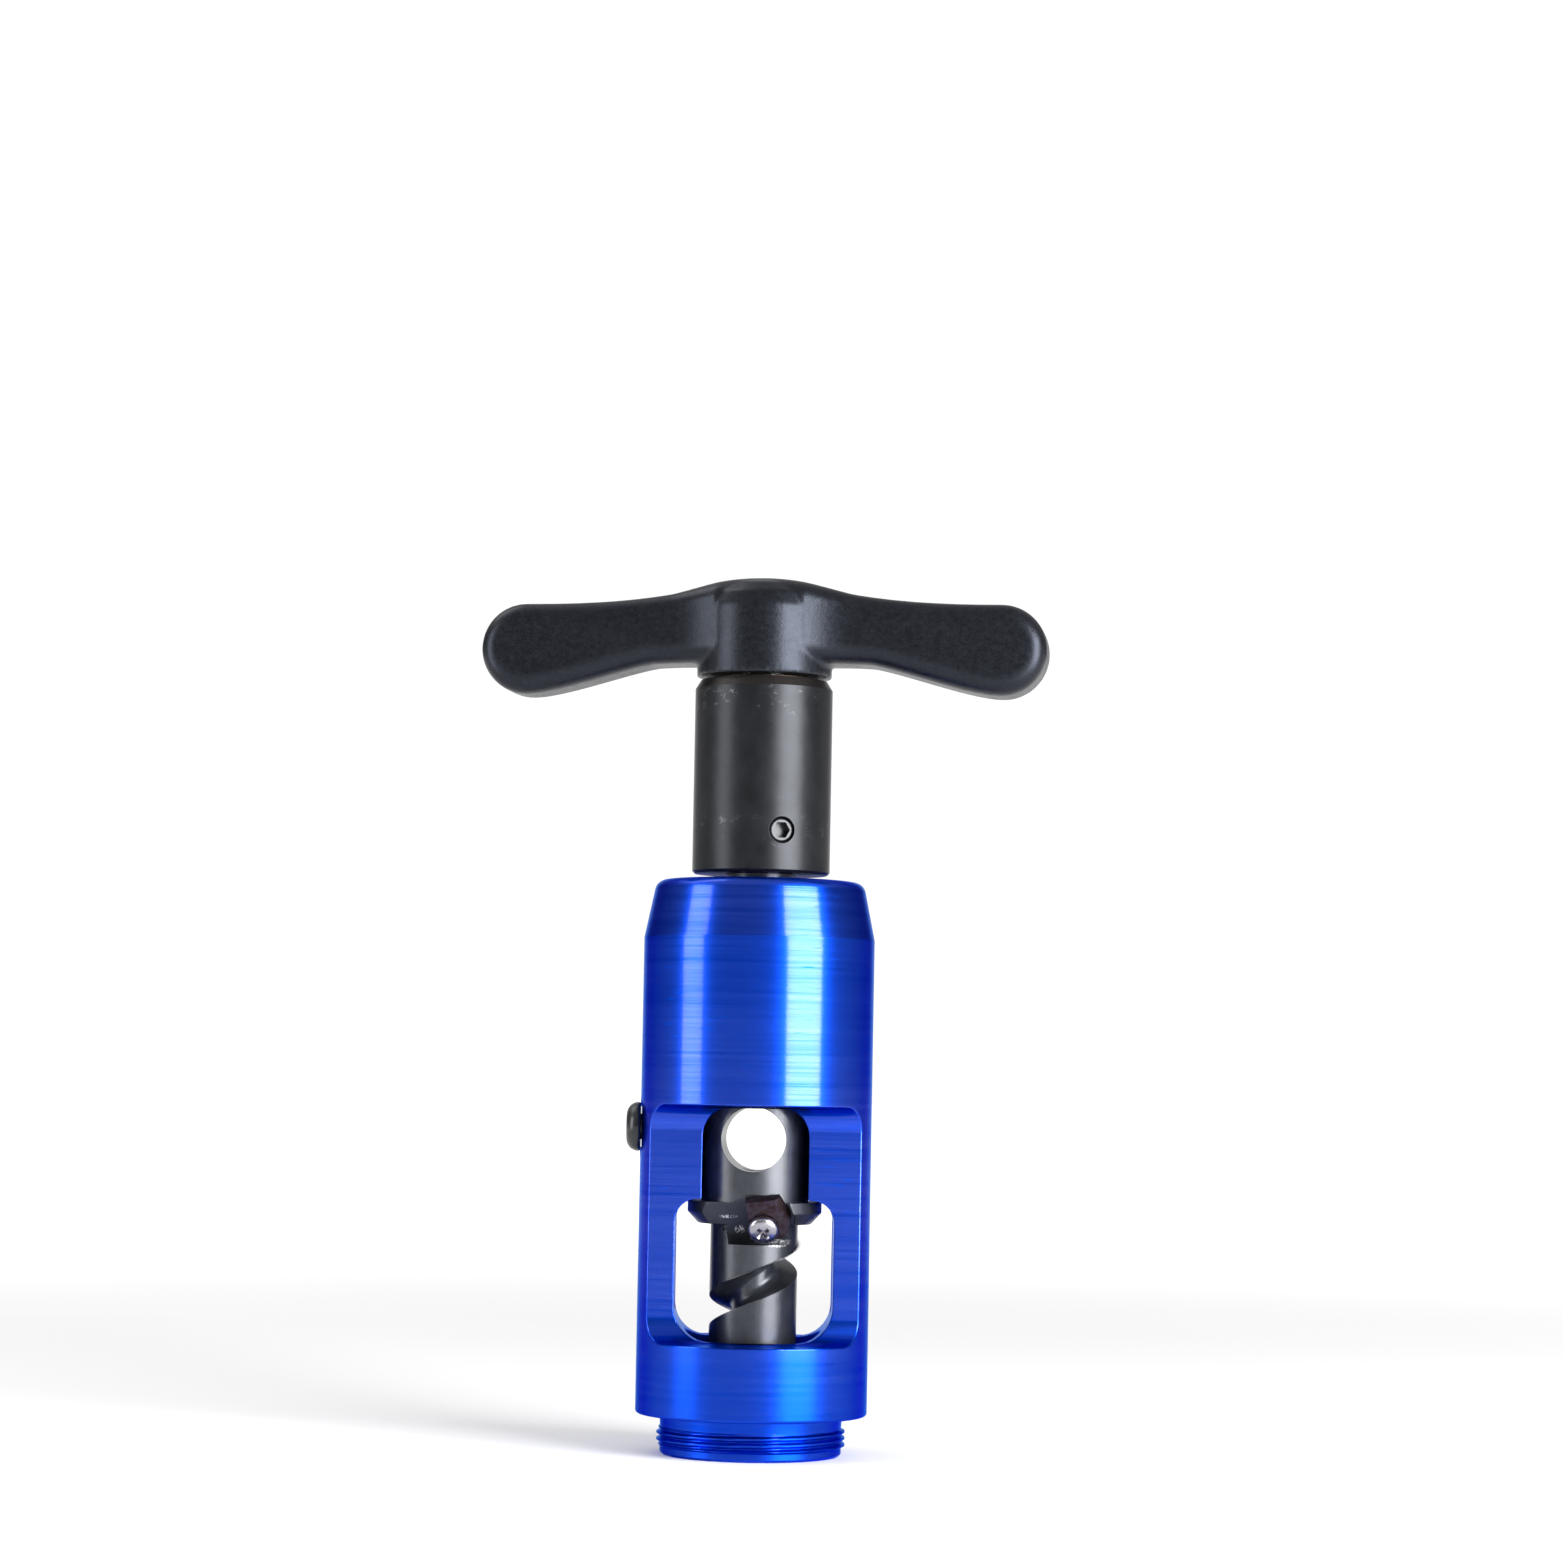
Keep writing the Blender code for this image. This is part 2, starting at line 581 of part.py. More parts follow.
def make_arbor(shop, material, seat):
    """Arbor: fluted auger, flange with the blade seat, cross-drilled cylinder and shank."""
    profile = [
        (0, SHANK_TOP),
        (SHANK_RADIUS - SHANK_CHAMFER, SHANK_TOP),
        (SHANK_RADIUS, SHANK_TOP - SHANK_CHAMFER),
        (SHANK_RADIUS, ARBOR_SHOULDER),
        (ARBOR_RADIUS, ARBOR_SHOULDER),
        (ARBOR_RADIUS, FLANGE_TOP),
        (FLANGE_RADIUS, FLANGE_TOP),
        (FLANGE_RADIUS, FLANGE_EDGE),
        (FLANGE_RADIUS - FLANGE_BEVEL[0], FLANGE_BOTTOM),
        (AUGER_RADIUS, FLANGE_BOTTOM),
        (AUGER_RADIUS, AUGER_TIP + AUGER_TIP_CHAMFER),
        (AUGER_RADIUS - AUGER_TIP_CHAMFER, AUGER_TIP),
        (0, AUGER_TIP),
    ]
    arbor = shop.turned("arbor", profile, material)
    combine(arbor, flute_cutter(shop))
    slot = shop.prism("blade_slot", SEAT_OUTLINE, SEAT_CUT_HEIGHT,
                      location=(0, 0, SEAT_CUT_HEIGHT / 2), parent=seat)
    size = 2 * BODY_RADIUS
    combine(slot, shop.box("below_ledge", (size, size, size),
                           location=(0, 0, FLANGE_BOTTOM - LEDGE_DROP - size / 2)))
    combine(arbor, slot)
    combine(arbor, shop.rod("blade_screw_hole", BLADE_SCREW_RADIUS + RUNNING_GAP,
                            -BLADE_SCREW_DEPTH - GAP, CUT_MARGIN, parent=seat))
    combine(arbor, shop.rod("cross_hole", CROSS_HOLE_RADIUS, -BODY_RADIUS, BODY_RADIUS,
                            sides=ROUND_STEPS, location=(0, 0, CROSS_HOLE_HEIGHT),
                            rotation=(math.pi / 2, 0, CROSS_HOLE_YAW)))
    combine(arbor, shop.rod("core_bore", CORE_BORE_RADIUS, AUGER_TIP - CUT_MARGIN,
                            CROSS_HOLE_HEIGHT))
    combine(arbor, shop.rod("retainer_arbor_hole", RETAINER_RADIUS + RUNNING_GAP,
                            RETAINER_TIP - GAP, ARBOR_RADIUS + CUT_MARGIN,
                            location=(0, 0, RETAINER_HEIGHT), rotation=(0, -math.pi / 2, 0)))
    flat_depth = SHANK_RADIUS
    flat = shop.box("shank_flat", (2 * SHANK_RADIUS, flat_depth, SHANK_FLAT_HEIGHT),
                    location=set_screw_point(SHANK_FLAT + flat_depth / 2),
                    rotation=(0, 0, SET_SCREW_AZIMUTH))
    combine(arbor, flat)
    return arbor


def make_strip_blade(shop, material, seat):
    """Strip blade: a thick plate with one side bevelled, clamped in the slot."""
    middle = GAP + BLADE_THICKNESS / 2
    blade = shop.prism("strip_blade", BLADE_OUTLINE, BLADE_THICKNESS, material=material,
                       location=(0, 0, middle), parent=seat)
    combine(blade, shop.rod("blade_hole", BLADE_SCREW_RADIUS + GAP, -BLADE_THICKNESS,
                            BLADE_THICKNESS + CUT_MARGIN, parent=seat))
    size = AUGER_RADIUS
    bevel = shop.box("blade_bevel", (size, 4 * size, size), parent=seat,
                     rotation=(0, BLADE_BEVEL_ANGLE, 0))
    outward = Vector((math.sin(BLADE_BEVEL_ANGLE), 0, math.cos(BLADE_BEVEL_ANGLE)))
    bevel.location = Vector((BLADE_BEVEL_START, 0, GAP + BLADE_THICKNESS)) + outward * size / 2
    combine(blade, bevel)


def make_strip_blade_screw(shop, material, seat):
    """Pan-head screw with a cross recess that clamps the strip blade."""
    under = 2 * GAP + BLADE_THICKNESS
    top = under + BLADE_SCREW_HEAD_HEIGHT
    crown = BLADE_SCREW_HEAD_HEIGHT - BLADE_SCREW_HEAD_WALL
    head_radius = BLADE_SCREW_RADIUS + BLADE_SCREW_HEAD_RIM
    profile = [(0, top)]
    for step in range(1, ARC_STEPS + 1):
        angle = math.pi / 2 * step / ARC_STEPS
        radius = head_radius * math.sin(angle)
        profile.append((radius, top - crown * (1 - math.cos(angle))))
    profile += [
        (head_radius, under),
        (BLADE_SCREW_RADIUS, under),
        (BLADE_SCREW_RADIUS, -BLADE_SCREW_DEPTH),
        (0, -BLADE_SCREW_DEPTH),
    ]
    screw = shop.turned("strip_blade_screw", profile, material, steps=SMALL_STEPS, parent=seat)
    for index in range(2):
        slot = shop.box("cross_recess_%d" % (index + 1),
                        (CROSS_RECESS_LENGTH, CROSS_RECESS_WIDTH, 2 * CROSS_RECESS_DEPTH),
                        location=(0, 0, top), parent=seat,
                        rotation=(0, 0, math.pi / 2 * index + CROSS_RECESS_TURN))
        combine(screw, slot)


def make_retaining_screw(shop, material):
    """Button-head socket screw through the body's left wall into the arbor."""
    under = RETAINER_SEAT + GAP
    top = under + RETAINER_HEAD_HEIGHT
    flat_radius = RETAINER_HEAD_RADIUS - RETAINER_FLAT_RIM
    profile = [(0, top), (flat_radius, top)]
    for step in range(1, ARC_STEPS + 1):
        angle = math.pi / 2 * step / ARC_STEPS
        profile.append((flat_radius + RETAINER_FLAT_RIM * math.sin(angle),
                        under + GAP + (RETAINER_HEAD_HEIGHT - GAP) * math.cos(angle)))
    profile += [
        (RETAINER_HEAD_RADIUS, under),
        (RETAINER_RADIUS, under),
        (RETAINER_RADIUS, RETAINER_TIP),
        (0, RETAINER_TIP),
    ]
    where = {"location": (0, 0, RETAINER_HEIGHT), "rotation": (0, -math.pi / 2, 0)}
    screw = shop.turned("retaining_screw", profile, material, steps=SMALL_STEPS, **where)
    combine(screw, shop.rod("retaining_screw_socket", RETAINER_SOCKET_RADIUS,
                            top - RETAINER_SOCKET_DEPTH, top + CUT_MARGIN, sides=6, **where))


def set_screw_point(distance):
    """Return the point on the set screw's axis at a distance from the tool's axis."""
    return (distance * math.sin(SET_SCREW_AZIMUTH), -distance * math.cos(SET_SCREW_AZIMUTH),
            SET_SCREW_HEIGHT)


def make_drive_collar(shop, material):
    """Drive collar: socket for the shank below, bore for the clutch cartridge above."""
    chamfer_width, chamfer_height = COLLAR_TOP_CHAMFER
    cartridge_bore = CARTRIDGE_RADIUS + GAP
    groove_radius = CARTRIDGE_RADIUS + SNAP_RING_OUTER_REACH + RUNNING_GAP
    groove_bottom = SNAP_RING_BOTTOM - RUNNING_GAP
    groove_top = SNAP_RING_BOTTOM + RING_THICKNESS + RUNNING_GAP
    socket_radius = SHANK_RADIUS + GAP
    profile = [
        (COLLAR_RADIUS - chamfer_width, COLLAR_TOP),
        (COLLAR_RADIUS, COLLAR_TOP - chamfer_height),
        (COLLAR_RADIUS, COLLAR_BOTTOM + COLLAR_BOTTOM_CHAMFER),
        (COLLAR_RADIUS - COLLAR_BOTTOM_CHAMFER, COLLAR_BOTTOM),
        (socket_radius, COLLAR_BOTTOM),
        (socket_radius, CARTRIDGE_FLOOR),
        (cartridge_bore, CARTRIDGE_FLOOR),
        (cartridge_bore, groove_bottom),
        (groove_radius, groove_bottom),
        (groove_radius, groove_top),
        (cartridge_bore, groove_top),
        (cartridge_bore, COLLAR_TOP),
    ]
    collar = shop.turned("drive_collar", profile, material, ring=True)
    combine(collar, shop.rod("set_screw_hole", SET_SCREW_RADIUS + RUNNING_GAP, 0,
                             COLLAR_RADIUS + CUT_MARGIN, location=(0, 0, SET_SCREW_HEIGHT),
                             rotation=(math.pi / 2, 0, SET_SCREW_AZIMUTH)))


def make_collar_set_screw(shop, material):
    """Socket set screw that bears on the flat of the shank."""
    outer_end = COLLAR_RADIUS - SET_SCREW_RECESS
    where = {"location": (0, 0, SET_SCREW_HEIGHT),
             "rotation": (math.pi / 2, 0, SET_SCREW_AZIMUTH)}
    screw = shop.rod("collar_set_screw", SET_SCREW_RADIUS, SHANK_FLAT + GAP, outer_end,
                     material=material, **where)
    combine(screw, shop.rod("set_screw_socket", SET_SCREW_SOCKET_RADIUS,
                            outer_end - SET_SCREW_SOCKET_DEPTH, outer_end + CUT_MARGIN,
                            sides=6, **where))


def split_ring(shop, name, inner, outer, bottom, material):
    """Make a flat spring ring with a gap at the back."""
    ring = shop.turned(name, ring_profile(inner, outer, bottom, bottom + RING_THICKNESS),
                       material, ring=True)
    combine(ring, shop.box(name + "_gap", (RING_SPLIT, outer, 3 * RING_THICKNESS),
                           location=(0, outer, bottom + RING_THICKNESS / 2)))
    return ring


def make_clutch_cup(shop, material):
    """Clutch cup: thin shell with lips and one ramp for each roller."""
    lip_radius = CUP_INNER_RADIUS - CUP_LIP_REACH
    profile = [
        (CARTRIDGE_RADIUS, CUP_TOP), (CARTRIDGE_RADIUS, CUP_BOTTOM),
        (lip_radius, CUP_BOTTOM), (lip_radius, CUP_BOTTOM + CUP_LIP),
        (CUP_INNER_RADIUS, CUP_BOTTOM + CUP_LIP), (CUP_INNER_RADIUS, CUP_TOP - CUP_LIP),
        (lip_radius, CUP_TOP - CUP_LIP), (lip_radius, CUP_TOP),
    ]
    cup = shop.turned("clutch_cup", profile, material, ring=True)
    ramp_outward = CUP_INNER_RADIUS + CUP_RAMP_DEPTH - CUP_RAMP_RADIUS
    for index, angle in enumerate(roller_angles()):
        combine(cup, shop.rod("clutch_ramp_%d" % (index + 1), CUP_RAMP_RADIUS,
                              CAGE_BOTTOM, CAGE_TOP,
                              location=around_axis(angle, ramp_outward, CUP_RAMP_SIDE)))


def roller_angles():
    """Return the angle of each cage window about the tool's axis."""
    return [math.tau * index / ROLLER_COUNT for index in range(ROLLER_COUNT)]


def around_axis(angle, outward, sideways):
    """Return a point at a window's angle, outward and sideways of the tool's axis."""
    return (outward * math.cos(angle) - sideways * math.sin(angle),
            outward * math.sin(angle) + sideways * math.cos(angle), 0)


def make_clutch_cage(shop, material):
    """Roller cage with a window for each roller and its spring."""
    profile = ring_profile(CAGE_INNER_RADIUS, CAGE_OUTER_RADIUS, CAGE_BOTTOM, CAGE_TOP)
    cage = shop.turned("clutch_cage", profile, material, ring=True)
    window_height = CAGE_TOP - CAGE_BOTTOM - 2 * CAGE_END_RING
    for index, angle in enumerate(roller_angles()):
        x, y, _ = around_axis(angle, CAGE_OUTER_RADIUS, 0)
        combine(cage, shop.box("cage_window_%d" % (index + 1),
                               (2 * (CAGE_OUTER_RADIUS - CAGE_INNER_RADIUS) + CUT_MARGIN,
                                CAGE_WINDOW_WIDTH, window_height),
                               location=(x, y, (CAGE_BOTTOM + CAGE_TOP) / 2),
                               rotation=(0, 0, angle)))


def make_rollers_and_springs(shop, roller_material, spring_material):
    """Rollers, each on its own axis, and the leaf springs that push them up the ramps."""
    middle = (CAGE_BOTTOM + CAGE_TOP) / 2
    half_length = (CAGE_TOP - CAGE_BOTTOM) / 2 - CAGE_END_RING - RUNNING_GAP
    start = ROLLER_OFFSET + ROLLER_RADIUS + ROLLER_SIDE_GAP
    end = start + SPRING_WIDTH
    fold = (start + end) / 2
    leaf = [
        (start, -SPRING_HALF_DEPTH), (start + SPRING_STRIP, -SPRING_HALF_DEPTH),
        (fold, SPRING_HALF_DEPTH - 2 * SPRING_STRIP), (end - SPRING_STRIP, -SPRING_HALF_DEPTH),
        (end, -SPRING_HALF_DEPTH), (fold, SPRING_HALF_DEPTH),
    ]
    outline = [(outward, sideways) for sideways, outward in leaf]
    outline.reverse()
    roller_outward = math.sqrt(ROLLER_PITCH_RADIUS ** 2 - ROLLER_OFFSET ** 2)
    for index, angle in enumerate(roller_angles()):
        x, y, _ = around_axis(angle, roller_outward, ROLLER_OFFSET)
        shop.rod("clutch_roller_%d" % (index + 1), ROLLER_RADIUS, -half_length, half_length,
                 material=roller_material, location=(x, y, middle))
        x, y, _ = around_axis(angle, ROLLER_PITCH_RADIUS, 0)
        shop.prism("clutch_spring_%d" % (index + 1), outline, SPRING_LENGTH,
                   material=spring_material, location=(x, y, middle), rotation=(0, 0, angle))


def make_bush(shop, material):
    """Flanged bush that guides the stud above the clutch."""
    flange_top = BUSH_BOTTOM + BUSH_FLANGE_LENGTH
    neck_radius = CARTRIDGE_RADIUS - SNAP_RING_INNER_REACH - BUSH_RING_GAP
    bore = STUD_RADIUS + RUNNING_GAP
    profile = [
        (neck_radius, BUSH_TOP), (neck_radius, flange_top),
        (CARTRIDGE_RADIUS, flange_top), (CARTRIDGE_RADIUS, BUSH_BOTTOM),
        (bore, BUSH_BOTTOM), (bore, BUSH_TOP),
    ]
    shop.turned("stud_bush", profile, material, ring=True)


def make_washers(shop, material):
    """Thrust washers under the clutch and under the handle's hub."""
    for name, bottom, thickness in (
            ("thrust_washer_lower", LOWER_WASHER_BOTTOM, WASHER_THICKNESS),
            ("thrust_washer_upper", UPPER_WASHER_BOTTOM, TOP_WASHER_THICKNESS)):
        profile = ring_profile(STUD_RADIUS + GAP, CARTRIDGE_RADIUS, bottom, bottom + thickness)
        shop.turned(name, profile, material, ring=True)


def make_stud(shop, material, handle):
    """Handle stud: hardened journal with a hexagonal head moulded into the hub."""
    groove_bottom = STUD_RING_BOTTOM - RUNNING_GAP
    groove_top = STUD_RING_BOTTOM + RING_THICKNESS + RUNNING_GAP
    groove_radius = STUD_RADIUS - STUD_RING_GROOVE_DEPTH
    top = INSERT_BOTTOM + INSERT_HEIGHT / 2
    profile = [
        (0, top), (STUD_RADIUS, top),
        (STUD_RADIUS, groove_top), (groove_radius, groove_top),
        (groove_radius, groove_bottom), (STUD_RADIUS, groove_bottom),
        (STUD_RADIUS, STUD_BOTTOM), (0, STUD_BOTTOM),
    ]
    stud = shop.turned("handle_stud", profile, material, parent=handle)
    combine(stud, shop.rod("stud_head", INSERT_RADIUS, INSERT_BOTTOM, INSERT_BOTTOM + INSERT_HEIGHT,
                           sides=6, parent=handle), "UNION")


def draw_arms(curve):
    """Draw the outline of both arms as one closed curve, seen from the front."""
    reach = QUARTER_CIRCLE_HANDLE * ARM_END_RADIUS
    end_x = ARM_HALF_SPAN - ARM_END_RADIUS
    end_z = HUB_BOTTOM + ARM_END_RISE
    waist_x, waist_z = HUB_RADIUS + ARM_WAIST[0], HUB_BOTTOM + ARM_WAIST[1]
    root_x, root_z = HUB_RADIUS + ARM_ROOT[0], HUB_BOTTOM + ARM_ROOT[1]
    # Each knot is a point and the directions to its handles, clockwise from the crest.
    half = [
        ((waist_x, waist_z), *WAIST_HANDLES),
        ((end_x, end_z + ARM_END_RADIUS), END_TOP_HANDLE, (reach, 0.0)),
        ((ARM_HALF_SPAN, end_z), (0.0, reach), (0.0, -reach)),
        ((end_x, end_z - ARM_END_RADIUS), (reach, 0.0), END_BOTTOM_HANDLE),
        ((root_x, root_z), *ROOT_HANDLES),
    ]
    knots = [((0.0, HANDLE_TOP), *CREST_HANDLES)] + half
    knots.append(((0.0, HUB_BOTTOM + ARM_ROOT_RISE), *reversed(CREST_HANDLES)))
    for (x, z), (ax, az), (bx, bz) in reversed(half):
        knots.append(((-x, z), (-bx, bz), (-ax, az)))
    spline = curve.splines.new("BEZIER")
    spline.bezier_points.add(len(knots) - 1)
    for point, ((x, z), before, after) in zip(spline.bezier_points, knots):
        point.handle_left_type = point.handle_right_type = "FREE"
        point.co = (x, z, 0)
        point.handle_left = (x + before[0], z + before[1], 0)
        point.handle_right = (x + after[0], z + after[1], 0)
    spline.use_cyclic_u = True


def make_handle(shop, material, handle):
    """T-handle: two drooping paddle arms joined to a domed hub."""
    profile = [(0, HANDLE_TOP)]
    profile += [(HUB_RADIUS - inset, HANDLE_TOP - drop) for inset, drop in HUB_DOME]
    profile += [(HUB_RADIUS, HUB_BOTTOM + HUB_EDGE), (HUB_RADIUS - HUB_EDGE, HUB_BOTTOM),
                (0, HUB_BOTTOM)]
    hub = shop.turned("t_handle", profile, material, parent=handle)
    arms = shop.plate("arms", draw_arms, ARM_THICKNESS, edge_radius=ARM_EDGE_RADIUS,
                      rotation=FACING_FRONT, parent=handle)
    combine(hub, arms, "UNION")
    combine(hub, shop.rod("insert_pocket", INSERT_RADIUS + GAP, INSERT_BOTTOM - GAP,
                          INSERT_BOTTOM + INSERT_HEIGHT + GAP, sides=6, parent=handle))
    combine(hub, shop.rod("stud_passage", STUD_RADIUS + GAP, HUB_BOTTOM - CUT_MARGIN,
                          INSERT_BOTTOM + CUT_MARGIN, sides=ROUND_STEPS, parent=handle))


def new_empty(shop, name, location=(0, 0, 0), rotation=(0, 0, 0)):
    """Add an empty that other pieces hang from."""
    empty = bpy.data.objects.new(name, None)
    shop.parts.objects.link(empty)
    empty.location = location
    empty.rotation_euler = rotation
    return empty


def make_seat_frame(shop):
    """Add the empty of the blade seat: its X is right, Y is up the slope and Z points out."""
    seat = new_empty(shop, "blade_seat", location=SEAT_POINT)
    face_front = Matrix.Rotation(math.pi / 2, 3, "X")
    tilt = Matrix.Rotation(SEAT_TILT, 3, "X")
    roll = Matrix.Rotation(SEAT_ROLL, 3, "Z")
    seat.rotation_euler = (tilt @ face_front @ roll).to_euler()
    return seat


def main():
    """Build the whole tool."""
    clear_scene()
    shop = Workshop("cable_coring_tool")
    blackened = black_oxide()
    steel = bright_steel()
    bearing = bronze()
    seat = make_seat_frame(shop)
    handle = new_empty(shop, "handle_axis", rotation=(0, 0, HANDLE_PARK_ANGLE))

    make_housing(shop, blue_anodised())
    make_retaining_screw(shop, blackened)
    make_arbor(shop, blackened, seat)
    make_strip_blade(shop, blade_steel(), seat)
    make_strip_blade_screw(shop, steel, seat)
    make_drive_collar(shop, collar_steel())
    make_collar_set_screw(shop, blackened)
    make_clutch_cup(shop, steel)
    make_clutch_cage(shop, cage_nylon())
    make_rollers_and_springs(shop, steel, steel)
    make_bush(shop, bearing)
    make_washers(shop, bearing)
    split_ring(shop, "cartridge_ring", CARTRIDGE_RADIUS - SNAP_RING_INNER_REACH,
               CARTRIDGE_RADIUS + SNAP_RING_OUTER_REACH, SNAP_RING_BOTTOM, steel)
    make_stud(shop, steel, handle)
    stud_ring = split_ring(shop, "stud_ring", STUD_RADIUS - STUD_RING_GROOVE_DEPTH + RUNNING_GAP,
                           STUD_RADIUS + STUD_RING_RIM, STUD_RING_BOTTOM, steel)
    stud_ring.parent = handle
    make_handle(shop, black_nylon(), handle)
    shade(shop.parts)


main()
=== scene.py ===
"""Looks of the T-handled coring and stripping tool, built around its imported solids.

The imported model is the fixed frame. The pieces that show most get a finer mesh, in the same
place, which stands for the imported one. The thrust washers and the pieces inside the collar keep
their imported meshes. Every piece is dressed in a procedural finish.

Units are metres. The tool stands on its nose: +Z runs up its axis and -Y is its front.
"""

from __future__ import annotations

import logging
import math
from dataclasses import dataclass, field
from enum import Enum
from typing import Callable, Sequence

import bmesh
import bpy
from mathutils import Matrix, Vector

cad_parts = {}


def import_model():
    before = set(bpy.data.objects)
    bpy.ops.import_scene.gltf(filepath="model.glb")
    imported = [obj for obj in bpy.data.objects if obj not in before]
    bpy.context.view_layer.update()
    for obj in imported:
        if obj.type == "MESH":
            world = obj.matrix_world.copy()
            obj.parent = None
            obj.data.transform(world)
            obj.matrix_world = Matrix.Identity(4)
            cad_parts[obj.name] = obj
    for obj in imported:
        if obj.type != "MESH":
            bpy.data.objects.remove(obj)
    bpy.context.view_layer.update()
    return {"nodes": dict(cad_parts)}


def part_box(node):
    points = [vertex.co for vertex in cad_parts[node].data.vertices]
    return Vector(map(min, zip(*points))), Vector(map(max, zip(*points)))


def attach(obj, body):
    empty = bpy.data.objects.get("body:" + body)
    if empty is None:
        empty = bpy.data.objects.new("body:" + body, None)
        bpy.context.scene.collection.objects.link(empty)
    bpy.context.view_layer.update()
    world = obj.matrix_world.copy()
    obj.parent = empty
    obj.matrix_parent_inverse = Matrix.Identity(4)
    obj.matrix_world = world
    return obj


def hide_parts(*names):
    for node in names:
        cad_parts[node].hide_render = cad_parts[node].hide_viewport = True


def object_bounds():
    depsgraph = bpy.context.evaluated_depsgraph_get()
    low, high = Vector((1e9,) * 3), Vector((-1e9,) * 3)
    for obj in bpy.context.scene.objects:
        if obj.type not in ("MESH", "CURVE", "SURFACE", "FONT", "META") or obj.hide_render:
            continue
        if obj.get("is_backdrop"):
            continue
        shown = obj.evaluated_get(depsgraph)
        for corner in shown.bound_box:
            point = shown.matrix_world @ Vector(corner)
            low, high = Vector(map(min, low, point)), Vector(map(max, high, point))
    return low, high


LOG = logging.getLogger("coring_tool")

Pair = tuple[float, float]
Corner = tuple[float, float, float]
Colour = tuple[float, float, float]

MERGE_DISTANCE = 0.000008
FLAT_ANGLE = math.radians(0.3)
SHARP_ANGLE = math.radians(35)
TURNED_ANGLE = math.radians(2.2)
LONG_FACE = 0.0006
BODY = "tool_body"
HANDLE = "handle"

ARBOR_RADIUS = 0.01045
ARBOR_SHOULDER = 0.088
FLANGE_TOP = 0.049
SHANK_RADIUS = 0.00635
STUD_RADIUS = 0.00635
CLEARANCE = 0.0003
RUNNING_GAP = 0.00015
CUT_MARGIN = 0.001
VIEWPORT_GREY = (0.5, 0.5, 0.5, 1.0)

FACING_RIGHT = Matrix(((0, 0, 1, 0), (1, 0, 0, 0), (0, 1, 0, 0), (0, 0, 0, 1)))
FACING_FRONT = Matrix(((1, 0, 0, 0), (0, 0, -1, 0), (0, 1, 0, 0), (0, 0, 0, 1)))


class Slot(Enum):
    """Material slots of the record."""

    BLUE = "blue_anodised"
    BLACK = "black_oxide_steel"
    COLLAR = "collar_steel"
    NYLON = "black_nylon"
    BLADE = "blade_steel"
    BRIGHT = "bright_steel"
    BRONZE = "bronze"
    CAGE = "cage_nylon"


# ---------------------------------------------------------------- shader building


class Signal:
    """A node's output socket that takes part in arithmetic."""

    def __init__(self, recipe: NodeSheet, socket: bpy.types.NodeSocket) -> None:
        """Wrap a socket of the sheet's tree."""
        self.recipe = recipe
        self.socket = socket

    def _math(self, operation: str, *values: Signal | float) -> Signal:
        """Add a Math node on the values."""
        return self.recipe.node("ShaderNodeMath", {"operation": operation}, dict(enumerate(values)))

    def __add__(self, other: Signal | float) -> Signal:
        """Add."""
        return self._math("ADD", self, other)

    def __radd__(self, other: float) -> Signal:
        """Add to a number."""
        return self._math("ADD", other, self)

    def __sub__(self, other: Signal | float) -> Signal:
        """Subtract."""
        return self._math("SUBTRACT", self, other)

    def __rsub__(self, other: float) -> Signal:
        """Subtract from a number."""
        return self._math("SUBTRACT", other, self)

    def __mul__(self, other: Signal | float) -> Signal:
        """Multiply."""
        return self._math("MULTIPLY", self, other)

    def __rmul__(self, other: float) -> Signal:
        """Multiply a number."""
        return self._math("MULTIPLY", other, self)

    def at_least(self, other: Signal | float) -> Signal:
        """Return the larger of two values."""
        return self._math("MAXIMUM", self, other)

    def ramp(self, low: float, high: float) -> Signal:
        """Rise smoothly from 0 at low to 1 at high, or fall where low is the larger.

        Args:
            low: Value that gives 0.
            high: Value that gives 1.

        Returns:
            The eased value.
        """
        settings = {"interpolation_type": "SMOOTHSTEP"}
        if low < high:
            return self.recipe.node("ShaderNodeMapRange", settings, {0: self, 1: low, 2: high})
        return 1 - self.recipe.node("ShaderNodeMapRange", settings, {0: self, 1: high, 2: low})


class NodeSheet:
    """A node tree while it is drawn."""

    def __init__(self, tree: bpy.types.NodeTree) -> None:
        """Take the tree to draw in."""
        self.tree = tree

    def feed(self, socket: bpy.types.NodeSocket, value: Signal | float | Sequence[float]) -> None:
        """Link a signal to a socket, or set the socket's value.

        Args:
            socket: The input to feed.
            value: A signal, a number or a colour.
        """
        if isinstance(value, Signal):
            self.tree.links.new(value.socket, socket)
        elif socket.type == "RGBA":
            socket.default_value = (*value[:3], 1.0)
        else:
            socket.default_value = value

    def node(self, kind: str, settings: dict | None = None, sockets: dict | None = None,
             output: int | str = 0) -> Signal:
        """Add a node.

        Args:
            kind: The node's type.
            settings: The node's properties, set first.
            sockets: Values or signals of its inputs, by name or index.
            output: Which output to return.

        Returns:
            The chosen output.
        """
        node = self.tree.nodes.new(kind)
        for key, value in (settings or {}).items():
            setattr(node, key, value)
        for key, value in (sockets or {}).items():
            self.feed(node.inputs[key], value)
        return Signal(self, node.outputs[output])


